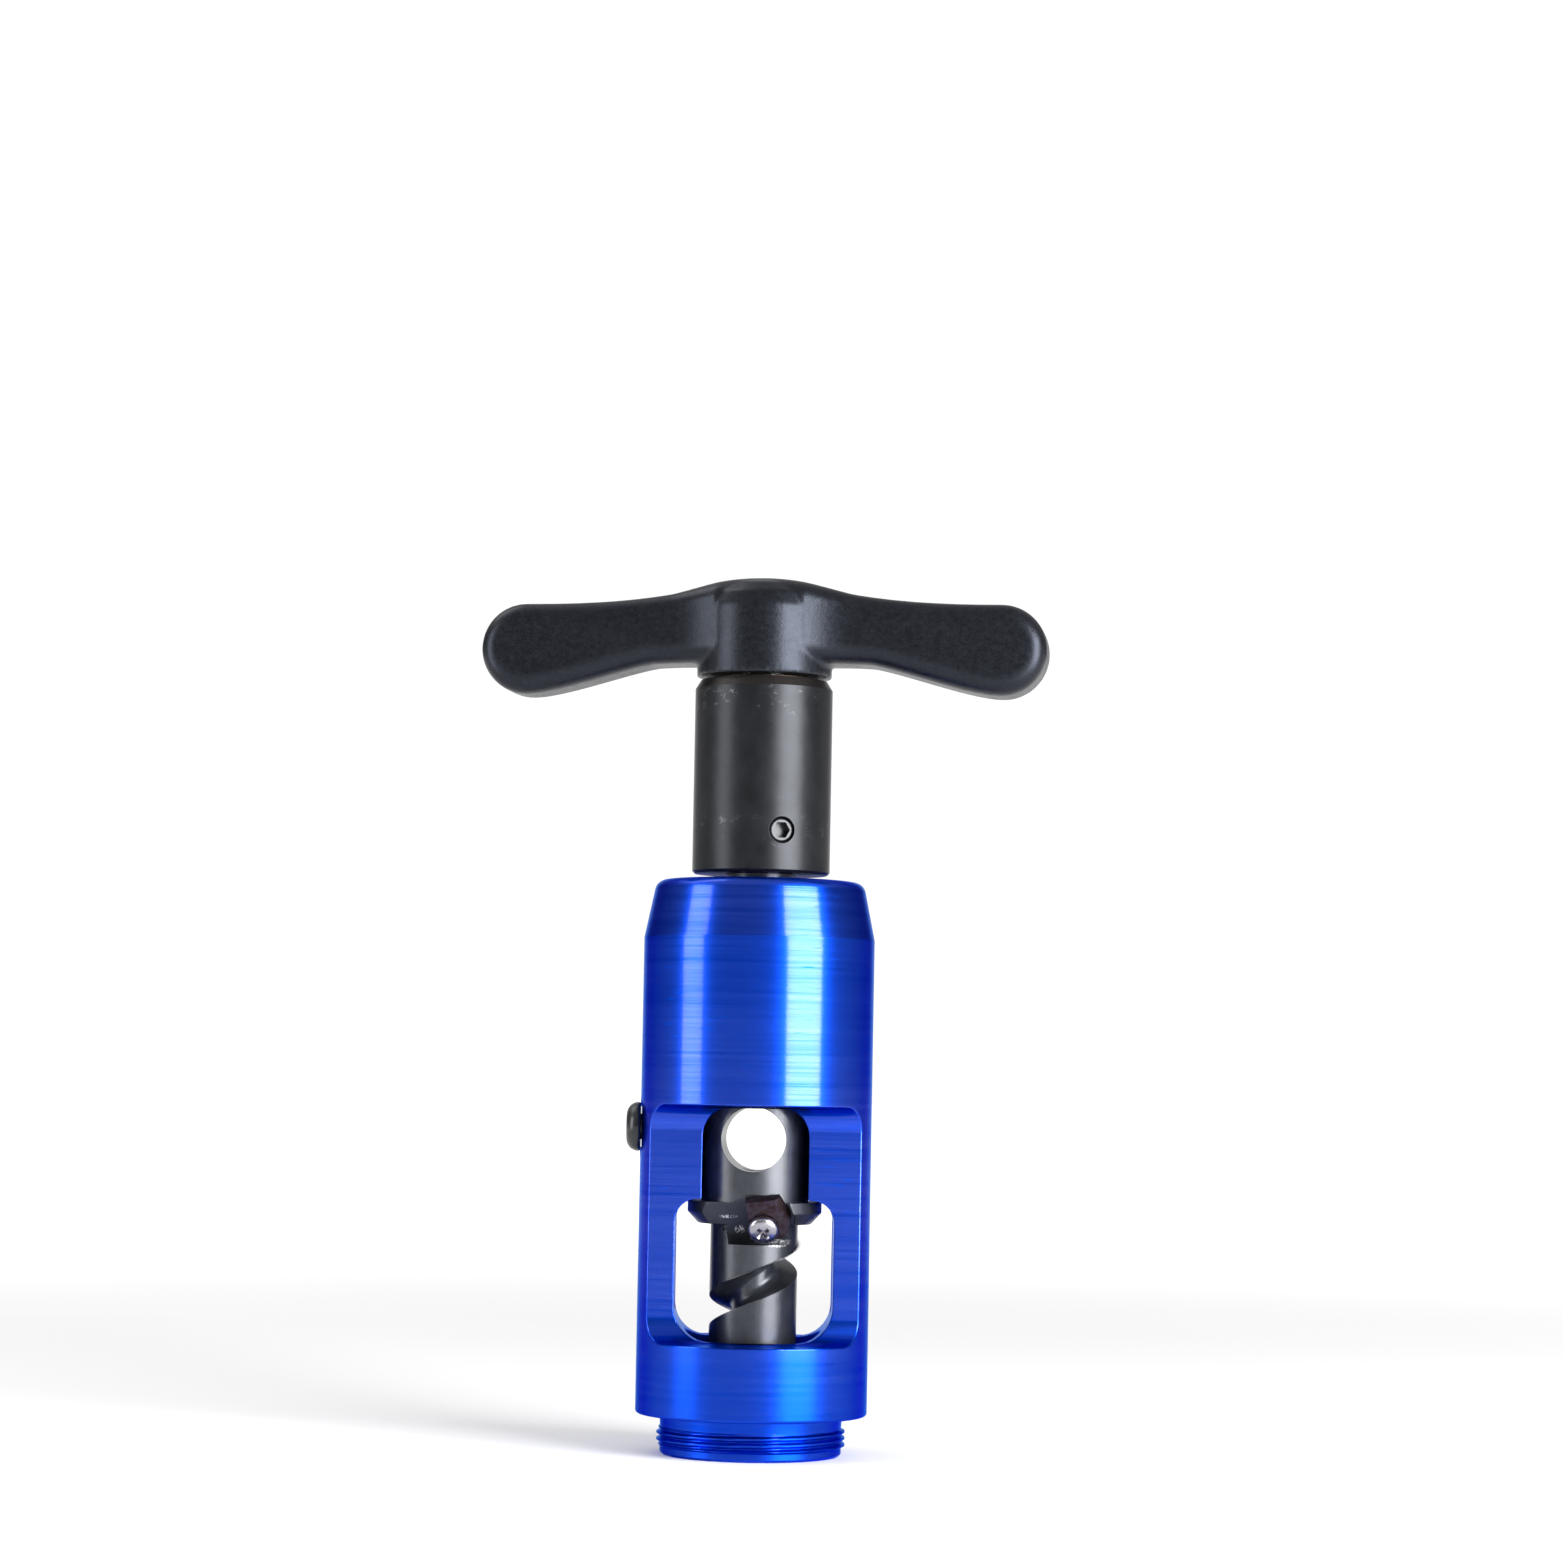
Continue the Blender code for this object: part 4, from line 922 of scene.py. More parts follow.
@dataclass
class Housing:
    """Blue body: turned tube with a threaded nose, flat pockets and a stepped window."""

    taper_length: float = 0.0113
    taper_depth: float = 0.0023
    top_edge: float = 0.0023
    shoulder_height: float = 0.0078
    shoulder_width: float = 0.00395
    shoulder_edge: float = 0.0006
    neck_length: float = 0.0024
    thread_pitch: float = 0.00127
    thread_turns: int = 3
    thread_depth: float = 0.0007
    thread_relief: float = 0.00025
    pilot_edge: float = 0.0005
    pocket_floor: float = 0.0095
    pocket_bottom: float = 0.0219
    pocket_top: float = 0.0676
    pocket_fillet: float = 0.005
    window_step: float = 0.0003
    window_half_width: float = 0.0153
    window_corner: float = 0.0068
    shoulder_corner: float = 0.0043
    channel_corner: float = 0.0057
    window_top_step: float = 0.0002
    flange_clearance: float = 0.00025
    screw_shank: float = 0.0025
    channel_lap: float = 0.0002
    spot_depth: float = 0.0003
    spot_margin: float = 0.0004
    edge_width: float = 0.00028
    facets: int = 216
    rows_per_turn: int = 14
    radius: float = field(init=False)
    length: float = field(init=False)
    bore: float = field(init=False)
    step: float = field(init=False)

    def __post_init__(self) -> None:
        """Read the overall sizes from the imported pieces."""
        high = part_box("housing")[1]
        self.radius = high.x
        self.length = high.z
        self.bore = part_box("arbor")[1].x + self.flange_clearance
        self.step = FLANGE_TOP + CLEARANCE

    def thread_radius(self, radius: float, height: float, angle: float) -> float:
        """Give the helical thread its shape.

        Args:
            radius: Radius of the profile's point.
            height: Height of the point.
            angle: Angle round the axis.

        Returns:
            The thread's radius there, or the plain radius away from the thread.
        """
        crest = self.radius - self.shoulder_width - self.thread_relief
        root = crest - self.thread_depth
        top = self.shoulder_height - self.neck_length
        bottom = top - self.thread_turns * self.thread_pitch
        if abs(radius - root) > 1e-7 or not bottom <= height <= top:
            return radius
        phase = ((height - bottom) / self.thread_pitch - angle / math.tau) % 1.0
        flank = (0.5 - abs(phase - 0.5)) * 2
        rise = min(1.0, max(0.0, (flank - 0.12) / 0.62))
        ends = min(height - bottom, top - height) / (0.35 * self.thread_pitch)
        return root + self.thread_depth * rise * min(1.0, max(0.0, ends))

    def profile(self) -> list[Pair]:
        """Draw the body's section, down its outside and up its bore.

        Returns:
            (radius, height) points.
        """
        neck = self.radius - self.shoulder_width
        root = neck - self.thread_relief - self.thread_depth
        thread_top = self.shoulder_height - self.neck_length
        thread_bottom = thread_top - self.thread_turns * self.thread_pitch
        shank_bore = SHANK_RADIUS + CLEARANCE
        upper_bore = ARBOR_RADIUS + RUNNING_GAP
        rows = self.thread_turns * self.rows_per_turn
        outer = rounded([
            (shank_bore, self.length, 0),
            (self.radius - self.taper_depth, self.length, self.top_edge),
            (self.radius, self.length - self.taper_length, 0.0004),
            (self.radius, self.shoulder_height, self.shoulder_edge),
            (neck, self.shoulder_height, 0),
            (neck, thread_top, 0.0003),
        ], steps=5)
        thread = [(root, thread_top + (thread_bottom - thread_top) * i / rows)
                  for i in range(rows + 1)]
        inner = [
            (root, self.pilot_edge), (root - self.pilot_edge, 0),
            (self.bore, 0), (self.bore, self.step), (upper_bore, self.step),
            (upper_bore, ARBOR_SHOULDER + CLEARANCE), (shank_bore, ARBOR_SHOULDER + CLEARANCE),
        ]
        return outer + thread + inner

    def window_outline(self) -> list[Pair]:
        """Draw the window: wide below, and a narrow channel above.

        Returns:
            The outline's points.
        """
        channel = ARBOR_RADIUS - self.channel_lap
        bottom = self.pocket_bottom + self.window_step
        top = self.step + self.window_top_step
        channel_top = self.pocket_top - self.window_step
        right = [
            (self.window_half_width, bottom, self.window_corner),
            (self.window_half_width, top, self.shoulder_corner),
            (channel, top, 0),
            (channel, channel_top, self.channel_corner),
        ]
        left = [(-x, z, corner) for x, z, corner in reversed(right)]
        return rounded(right + left, steps=14)

    def build(self) -> bpy.types.Object:
        """Make the body's mesh.

        Returns:
            The object.
        """
        body = Bench.turned("housing_mesh", self.profile(), self.facets, ring=True,
                            radius_of=self.thread_radius)
        reach = self.radius + CUT_MARGIN
        pocket = rounded([
            (self.pocket_floor, self.pocket_bottom, self.pocket_fillet),
            (reach, self.pocket_bottom, 0),
            (reach, self.pocket_top, 0),
            (self.pocket_floor, self.pocket_top, self.pocket_fillet),
        ], steps=14)
        tools = [Bench.prism("pocket_back", pocket, -reach, reach, FACING_RIGHT)]
        tools.append(Bench.prism("pocket_front", [(-y, z) for y, z in pocket], -reach, reach,
                                 FACING_RIGHT))
        tools.append(Bench.prism("window", self.window_outline(), -reach, reach, FACING_FRONT))
        low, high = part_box("retaining_screw")
        middle = (low.z + high.z) / 2
        head = (high.z - low.z) / 2
        left = Matrix.Translation((0, 0, middle)) @ Matrix.Rotation(-math.pi / 2, 4, "Y")
        seat = self.radius - self.spot_depth
        tools.append(Bench.rod("spot_face", head + self.spot_margin, seat, reach, 64, left))
        tools.append(Bench.rod("screw_hole", self.screw_shank + RUNNING_GAP, 0.005,
                               seat + CUT_MARGIN, 48, left))
        Bench.carve(body, *tools)
        Bench.ease(body, self.edge_width, wanted=lambda middle: middle.z > self.shoulder_height)
        Bench.shade_turned(body)
        return body


@dataclass
class RetainingScrew:
    """Black button-head screw in the body's left side."""

    shank: float = 0.0025
    head_height: float = 0.00275
    flat_rim: float = 0.0024
    socket: float = 0.0018
    socket_depth: float = 0.0016

    def build(self) -> bpy.types.Object:
        """Make the screw's mesh, with a hexagonal socket in its head.

        Returns:
            The object.
        """
        low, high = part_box("retaining_screw")
        rim = (high.z - low.z) / 2
        top, tip = -low.x, -high.x
        under = top - self.head_height
        crown = rim - self.flat_rim
        profile = [(0, top), (crown, top)]
        profile += quarter(rim, crown, top, self.head_height - 0.0004, 14)
        profile += [(rim - 0.0002, under), (self.shank, under), (self.shank, tip), (0, tip)]
        place = Matrix.Translation((0, 0, (low.z + high.z) / 2)) @ Matrix.Rotation(-math.pi / 2, 4, "Y")
        screw = Bench.turned("screw_mesh", profile, 72, place=place)
        Bench.carve(screw, Bench.rod("socket", self.socket, top - self.socket_depth,
                                     top + CUT_MARGIN, 6, place))
        Bench.ease(screw, 0.00008)
        Bench.shade(screw)
        return screw


@dataclass
class BladeSeat:
    """The slanted slot of the strip blade: X is right, Y up the slope and Z out of it."""

    side: float = 0.0017
    depth: float = 0.0013
    rise: float = 0.0007
    tilt: float = math.radians(32)
    roll: float = math.radians(9)

    def place(self, auger_radius: float, flange_bottom: float) -> Matrix:
        """Find the seat's place on the arbor.

        Args:
            auger_radius: Radius of the auger.
            flange_bottom: Height of the flange's lower face.

        Returns:
            The place.
        """
        point = (self.side, self.depth - auger_radius, flange_bottom + self.rise)
        turn = Matrix.Rotation(self.tilt + math.pi / 2, 4, "X") @ Matrix.Rotation(self.roll, 4, "Z")
        return Matrix.Translation(point) @ turn


@dataclass
class Arbor:
    """Blackened arbor: fluted auger, bevelled flange, cross-drilled cylinder and shank."""

    auger: float = 0.0085
    tip_chamfer: float = 0.0006
    cylinder: float = ARBOR_RADIUS
    shoulder: float = ARBOR_SHOULDER
    flange_top: float = FLANGE_TOP
    flange_thickness: float = 0.0021
    flange_bevel: Pair = (0.00205, 0.0022)
    shank: float = SHANK_RADIUS
    shank_chamfer: float = 0.0008
    core_bore: float = 0.0025
    cross_hole: float = 0.00625
    cross_rise: float = 0.0121
    cross_yaw: float = math.radians(-3.0)
    flute_pitch: float = 0.021
    flute_half_width: float = 0.0032
    flute_wall: float = 0.0014
    flute_floor: float = 0.00256
    flute_corner: float = 0.0019
    flute_front_drop: float = 0.0118
    flute_end_drop: float = 0.0035
    slot: tuple[Pair, ...] = (
        (-0.0112, 0.0090), (-0.0112, 0.0015), (-0.0072, -0.0015), (-0.0072, -0.0052),
        (0.0050, -0.0052), (0.0064, 0.0010), (0.0048, 0.0090))
    ledge_drop: float = 0.0039
    blade_screw_hole: float = 0.00165
    retainer_hole: float = 0.00265
    slot_facing: float = 0.999
    seat: BladeSeat = field(default_factory=BladeSeat)

    @property
    def flange_bottom(self) -> float:
        """Height of the flange's lower face."""
        return self.flange_top - self.flange_thickness - self.flange_bevel[1]

    def seat_place(self) -> Matrix:
        """Return the place of the blade's seat."""
        return self.seat.place(self.auger, self.flange_bottom)

    def flute(self, tip: float) -> bpy.types.Object:
        """Make the helical cutter of the flute.

        Args:
            tip: Height of the auger's end.

        Returns:
            The cutter.
        """
        mouth = self.auger + CUT_MARGIN
        core = self.core_bore + self.flute_wall
        section = rounded([
            (mouth, self.flute_half_width, 0),
            (mouth, -self.flute_half_width, 0),
            (core, -self.flute_floor, self.flute_corner),
            (core, self.flute_floor, self.flute_corner),
        ], steps=8)
        start = tip - self.flute_half_width - CUT_MARGIN
        front = self.flange_bottom - self.flute_front_drop
        end = self.flange_bottom - self.flute_end_drop
        steps = round((end - start) / self.flute_pitch * 72)
        shape = bmesh.new()
        rows = []
        for step in range(steps + 1):
            height = start + (end - start) * step / steps
            angle = (height - front) / self.flute_pitch * math.tau - math.pi / 2
            turn = Matrix.Rotation(angle, 3, "Z")
            rows.append([shape.verts.new(turn @ Vector((r, 0, z + height))) for r, z in section])
        for here, there in zip(rows, rows[1:]):
            for index in range(len(section)):
                shape.faces.new([here[index - 1], here[index], there[index], there[index - 1]])
        shape.faces.new(rows[0])
        shape.faces.new(rows[-1])
        return Bench.add("flute", shape)

    def build(self) -> bpy.types.Object:
        """Make the arbor's mesh.

        Returns:
            The object.
        """
        low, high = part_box("arbor")
        tip, top, flange = low.z, high.z, high.x
        profile = [
            (0, top), (self.shank - self.shank_chamfer, top), (self.shank, top - self.shank_chamfer),
            (self.shank, self.shoulder), (self.cylinder, self.shoulder),
            (self.cylinder, self.flange_top), (flange, self.flange_top),
            (flange, self.flange_top - self.flange_thickness),
            (flange - self.flange_bevel[0], self.flange_bottom), (self.auger, self.flange_bottom),
            (self.auger, tip + self.tip_chamfer), (self.auger - self.tip_chamfer, tip), (0, tip),
        ]
        arbor = Bench.turned("arbor_mesh", profile, 144)
        seat = self.seat_place()
        cross = self.flange_top + self.cross_rise
        across = (Matrix.Translation((0, 0, cross)) @ Matrix.Rotation(self.cross_yaw, 4, "Z")
                  @ Matrix.Rotation(math.pi / 2, 4, "X"))
        screw_low, screw_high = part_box("retaining_screw")
        left = (Matrix.Translation((0, 0, (screw_low.z + screw_high.z) / 2))
                @ Matrix.Rotation(-math.pi / 2, 4, "Y"))
        slot = Bench.prism("slot", self.slot, 0.0, 0.012, seat)
        ledge = self.flange_bottom - self.ledge_drop
        Bench.carve(slot, Bench.rod("below_ledge", 0.03, ledge - 0.03, ledge, 16))
        Bench.carve(
            arbor,
            self.flute(tip),
            slot,
            Bench.rod("blade_screw_hole", self.blade_screw_hole, -0.003, CUT_MARGIN, 32, seat),
            Bench.rod("cross_hole", self.cross_hole, -0.02, 0.02, 96, across),
            Bench.rod("core_bore", self.core_bore, tip - CUT_MARGIN, cross, 48),
            Bench.rod("retainer_hole", self.retainer_hole, -screw_high.x - CLEARANCE, 0.012, 48,
                      left))
        Bench.ease(arbor, 0.00010)
        # Slot floor faces under the blade take the third material, a near-black oxide that is painted
        # shade.
        out = seat.col[2].to_3d()
        for face in arbor.data.polygons:
            if face.normal.dot(out) > self.slot_facing:
                face.material_index = 2
        Bench.shade_turned(arbor)
        return arbor


@dataclass
class StripBlade:
    """Strip blade: thick plate with one side bevelled, clamped in its slot by a screw."""

    seat_gap: float = 0.0003
    thickness: float = 0.002
    outline: tuple[Pair, ...] = (
        (-0.0026, -0.0030), (0.0042, -0.0030), (0.0058, 0.0010), (0.0040, 0.0060),
        (-0.0026, 0.0060))
    bevel_angle: float = math.radians(40)
    bevel_start: float = 0.0032
    bevel_block: float = 0.008
    screw: float = 0.0015
    head: float = 0.00295
    head_height: float = 0.0019
    head_wall: float = 0.00066
    screw_depth: float = 0.0027
    recess_turn: float = math.radians(36)
    recess_width: float = 0.0008
    recess_length: float = 0.0032
    recess_depth: float = 0.0011

    def build(self, seat: Matrix) -> bpy.types.Object:
        """Make the blade's mesh.

        Args:
            seat: The place of its seat.

        Returns:
            The object.
        """
        top = self.seat_gap + self.thickness
        blade = Bench.prism("blade_mesh", self.outline, self.seat_gap, top, seat)
        size = self.bevel_block
        outward = Vector((math.sin(self.bevel_angle), 0, math.cos(self.bevel_angle)))
        middle = Vector((self.bevel_start, 0, top)) + outward * size / 2
        place = seat @ Matrix.Translation(middle) @ Matrix.Rotation(self.bevel_angle, 4, "Y")
        square = [(-size / 2, -2 * size), (size / 2, -2 * size), (size / 2, 2 * size),
                  (-size / 2, 2 * size)]
        Bench.carve(blade, Bench.prism("bevel", square, -size / 2, size / 2, place),
                    Bench.rod("hole", self.screw + CLEARANCE, -0.002, top + CUT_MARGIN, 40, seat))
        Bench.ease(blade, 0.00007)
        Bench.shade(blade)
        return blade

    def build_screw(self, seat: Matrix) -> bpy.types.Object:
        """Make the pan-head screw, whose cross recess tapers to its floor.

        Args:
            seat: The place of the blade's seat.

        Returns:
            The object.
        """
        under = 2 * self.seat_gap + self.thickness
        top = under + self.head_height
        profile = [(0, top), (self.head * 0.25, top - 0.00001)]
        profile += quarter(self.head, self.head * 0.25, top - 0.00001,
                           self.head_height - self.head_wall, 14)
        profile += [(self.head, under + 0.0001), (self.head - 0.0001, under), (self.screw, under),
                    (self.screw, -self.screw_depth), (0, -self.screw_depth)]
        screw = Bench.turned("pan_head_mesh", profile, 64, place=seat)
        half, long = self.recess_width / 2, self.recess_length / 2
        arm = [(-long, -half), (long, -half), (long, half), (-long, half)]
        tools = []
        for index in range(2):
            place = seat @ Matrix.Rotation(self.recess_turn + math.pi / 2 * index, 4, "Z")
            tools.append(Bench.prism("cross_arm", arm, top - self.recess_depth, top + 0.0002, place,
                                     shrink=0.55))
        Bench.carve(screw, *tools)
        Bench.ease(screw, 0.00005)
        # Walls and floor of the cross recess take the third material, a near-black metal: darker inside
        # the recess.
        back = seat.inverted()
        for face in screw.data.polygons:
            centre = back @ face.center
            if math.hypot(centre.x, centre.y) < long * 1.02 and under < centre.z < top - 0.0003:
                face.material_index = 2
        Bench.shade(screw)
        return screw


@dataclass
class DriveCollar:
    """Blackened collar between the body and the handle, and its set screw."""

    chamfer: Pair = (0.00105, 0.00175)
    bottom_chamfer: float = 0.0005
    wall: float = 0.00295
    socket: float = 0.00665
    set_azimuth: float = math.radians(17)
    set_radius: float = 0.0024
    set_recess: float = 0.0005
    hex_radius: float = 0.0017
    hex_depth: float = 0.0025
    floor_gap: float = 0.0007
    shank_notch: float = 0.00065
    band_height: float = 0.00009
    band_area: float = 1e-6

    def build(self) -> bpy.types.Object:
        """Make the collar's mesh.

        Returns:
            The object.
        """
        low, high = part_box("drive_collar")
        radius, bottom, top = high.x, low.z, high.z
        ring_low, ring_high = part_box("cartridge_ring")
        bore = radius - self.wall + CLEARANCE
        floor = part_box("handle_stud")[0].z - self.floor_gap
        groove = ring_high.x + RUNNING_GAP
        profile = rounded([
            (radius - self.chamfer[0], top, 0.00012),
            (radius, top - self.chamfer[1], 0.00012),
            (radius, bottom + self.bottom_chamfer, 0.0001),
            (radius - self.bottom_chamfer, bottom, 0.0001),
            (self.socket, bottom, 0.0002),
            (self.socket, floor, 0), (bore, floor, 0),
            (bore, ring_low.z - RUNNING_GAP, 0), (groove, ring_low.z - RUNNING_GAP, 0),
            (groove, ring_high.z + RUNNING_GAP, 0), (bore, ring_high.z + RUNNING_GAP, 0),
            (bore, top, 0.0002),
        ], steps=3)
        collar = Bench.turned("collar_mesh", profile, 144, ring=True)
        Bench.carve(collar, Bench.rod("set_hole", self.set_radius + RUNNING_GAP, 0,
                                      radius + CUT_MARGIN, 56, self.set_place()))
        Bench.ease(collar, 0.0001, math.radians(50))
        self.mark_edge_band(collar, top - self.chamfer[1])
        Bench.shade_turned(collar)
        return collar

    def mark_edge_band(self, collar: bpy.types.Object, height: float) -> None:
        """Give the worn edge's material to the narrow band under the chamfer.

        Args:
            collar: The collar.
            height: Height of the band's middle.
        """
        for face in collar.data.polygons:
            if abs(face.center.z - height) < self.band_height and face.area < self.band_area:
                face.material_index = 1

    def set_place(self) -> Matrix:
        """Find the set screw's place, its axis pointing out of the collar.

        Returns:
            The place.
        """
        low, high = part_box("collar_set_screw")
        return (Matrix.Translation((0, 0, (low.z + high.z) / 2))
                @ Matrix.Rotation(self.set_azimuth, 4, "Z") @ Matrix.Rotation(math.pi / 2, 4, "X"))

    def build_set_screw(self) -> bpy.types.Object:
        """Make the socket set screw, chamfered at both ends.

        Returns:
            The object.
        """
        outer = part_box("drive_collar")[1].x - self.set_recess
        inner = SHANK_RADIUS - self.shank_notch + CLEARANCE
        radius = self.set_radius
        profile = [(0, outer), (radius - 0.0004, outer), (radius, outer - 0.0003),
                   (radius, inner + 0.0006), (radius - 0.0006, inner), (0, inner)]
        screw = Bench.turned("set_screw_mesh", profile, 56, place=self.set_place())
        Bench.carve(screw, Bench.rod("hexagon", self.hex_radius, outer - self.hex_depth,
                                     outer + CUT_MARGIN, 6, self.set_place()))
        Bench.ease(screw, 0.00005)
        Bench.shade(screw)
        return screw


@dataclass
class Handle:
    """T-handle: two drooping arms moulded round a domed hub."""

    park_angle: float = math.radians(-8)
    hub_dome: tuple[Pair, ...] = ((0.0070, 0.0001), (0.0034, 0.0011), (0.0010, 0.0030), (0.0, 0.0058))
    half_span: float = 0.0557
    end_radius: float = 0.0089
    end_rise: float = 0.0052
    waist: Pair = (0.0043, 0.0161)
    root: Pair = (0.0083, 0.0022)
    root_rise: float = 0.0025
    thickness: float = 0.015
    edge_radius: float = 0.0034
    quarter_handle: float = 0.5523
    hub_height: float = 0.019
    tip_margin: float = 0.00008
    flare_start: float = 0.0086
    flare_reach: float = 0.0190
    flare_height: float = 0.0027
    voxel: float = 0.00042
    smoothing: int = 6
    hub_inset: float = 0.00025
    stud_head_rim: float = 0.00215
    stud_head_reach: Pair = (0.0017, 0.0123)

    def draw(self, curve: bpy.types.Curve, hub: float, bottom: float, top: float) -> None:
        """Draw the outline of both arms as one closed curve.

        Args:
            curve: The curve to draw in.
            hub: Radius of the hub.
            bottom: Height of the hub's lower face.
            top: Height of the handle's crest.
        """
        reach = self.quarter_handle * self.end_radius
        span = self.half_span - self.tip_margin
        end_x = span - self.end_radius
        end_z = bottom + self.end_rise
        half = [
            ((hub + self.waist[0], bottom + self.waist[1]), (-0.0075, 0.0019), (0.0095, -0.0016)),
            ((end_x, end_z + self.end_radius), (-0.0110, 0.0), (reach, 0.0)),
            ((span, end_z), (0.0, reach), (0.0, -reach)),
            ((end_x, end_z - self.end_radius), (reach, 0.0), (-0.0060, 0.0)),
            ((hub + self.root[0], bottom + self.root[1]), (0.0060, -0.0010), (-0.0060, 0.0004)),
        ]
        knots = [((0.0, top), (-0.0065, 0.0), (0.0065, 0.0))] + half
        knots.append(((0.0, bottom + self.root_rise), (0.0065, 0.0), (-0.0065, 0.0)))
        for (x, z), (ax, az), (bx, bz) in reversed(half):
            knots.append(((-x, z), (-bx, bz), (-ax, az)))
        spline = curve.splines.new("BEZIER")
        spline.bezier_points.add(len(knots) - 1)
        for point, ((x, z), before, after) in zip(spline.bezier_points, knots):
            point.handle_left_type = point.handle_right_type = "FREE"
            point.co = (x, z, 0)
            point.handle_left = (x + before[0], z + before[1], 0)
            point.handle_right = (x + after[0], z + after[1], 0)
        spline.use_cyclic_u = True

    def arms(self, hub: float, bottom: float, top: float) -> bpy.types.Object:
        """Make both arms as one rounded plate, standing on edge.

        Args:
            hub: Radius of the hub.
            bottom: Height of the hub's lower face.
            top: Height of the handle's crest.

        Returns:
            The object.
        """
        curve = bpy.data.curves.new("arms_outline", "CURVE")
        curve.dimensions = "2D"
        curve.fill_mode = "BOTH"
        curve.extrude = self.thickness / 2 - self.edge_radius
        curve.bevel_depth = self.edge_radius
        curve.offset = -self.edge_radius
        curve.bevel_resolution = 6
        curve.resolution_u = 16
        self.draw(curve, hub, bottom, top)
        drawn = bpy.data.objects.new("arms_outline", curve)
        bpy.context.scene.collection.objects.link(drawn)
        bpy.context.view_layer.update()
        mesh = bpy.data.meshes.new_from_object(
            drawn.evaluated_get(bpy.context.evaluated_depsgraph_get()))
        bpy.data.objects.remove(drawn, do_unlink=True)
        shape = bmesh.new()
        shape.from_mesh(mesh)
        bmesh.ops.remove_doubles(shape, verts=shape.verts, dist=MERGE_DISTANCE)
        plate = Bench.add("arms", shape, FACING_FRONT)
        self.even_out(plate, 1)
        length = self.flare_reach - self.flare_start
        for vertex in plate.data.vertices:
            out = max(self.flare_start, abs(vertex.co.x))
            share = max(0.0, (self.flare_reach - out) / length)
            vertex.co.y *= 1 + self.flare_height / (self.thickness / 2) * share * share
        return plate

    def even_out(self, obj: bpy.types.Object, smoothing: int) -> None:
        """Give an object an even mesh and soften its edges.

        Args:
            obj: The object.
            smoothing: Rounds of softening.
        """
        remesh = obj.modifiers.new("even_out", "REMESH")
        remesh.mode = "VOXEL"
        remesh.voxel_size = self.voxel
        soften = obj.modifiers.new("soften", "SMOOTH")
        soften.factor = 0.5
        soften.iterations = smoothing
        Bench.bake(obj)

    def build(self) -> bpy.types.Object:
        """Make the handle: join arms and hub, even the mesh out and soften every edge.

        Returns:
            The object.
        """
        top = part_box("t_handle")[1].z
        bottom = top - self.hub_height
        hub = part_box("drive_collar")[1].x - self.hub_inset
        profile = [(0, top)]
        profile += [(hub - inset, top - drop) for inset, drop in self.hub_dome]
        profile += [(hub, bottom), (0, bottom)]
        handle = Bench.turned("handle_mesh", profile, 96)
        Bench.carve(handle, self.arms(hub, bottom, top), operation="UNION")
        self.even_out(handle, self.smoothing)
        stud = STUD_RADIUS + CLEARANCE
        head = stud + self.stud_head_rim
        low, high = self.stud_head_reach
        Bench.carve(handle, Bench.rod("passage", stud, bottom - CUT_MARGIN, bottom + 0.003, 48),
                    Bench.rod("pocket", head, bottom + low, bottom + high, 6))
        handle.data.transform(Matrix.Rotation(self.park_angle, 4, "Z"))
        handle.data.shade_smooth()
        handle.data.set_sharp_from_angle(angle=SHARP_ANGLE)
        return handle


# ---------------------------------------------------------------- studio


@dataclass(frozen=True)
class Softbox:
    """A soft rectangular light that faces the tool."""

    name: str
    azimuth: float
    height: float
    distance: float
    width: float
    tall: float
    power: float

    def add(self, target: Vector) -> None:
        """Hang the light.

        Args:
            target: The point that it faces.
        """
        light = bpy.data.lights.new(self.name, "AREA")
        light.shape = "RECTANGLE"
        light.size = self.width
        light.size_y = self.tall
        light.energy = self.power
        lamp = bpy.data.objects.new(self.name, light)
        angle = math.radians(self.azimuth)
        lamp.location = (self.distance * math.sin(angle), -self.distance * math.cos(angle), self.height)
        lamp.rotation_euler = (target - lamp.location).to_track_quat("-Z", "Y").to_euler()
        lamp.visible_camera = False
        bpy.context.scene.collection.objects.link(lamp)


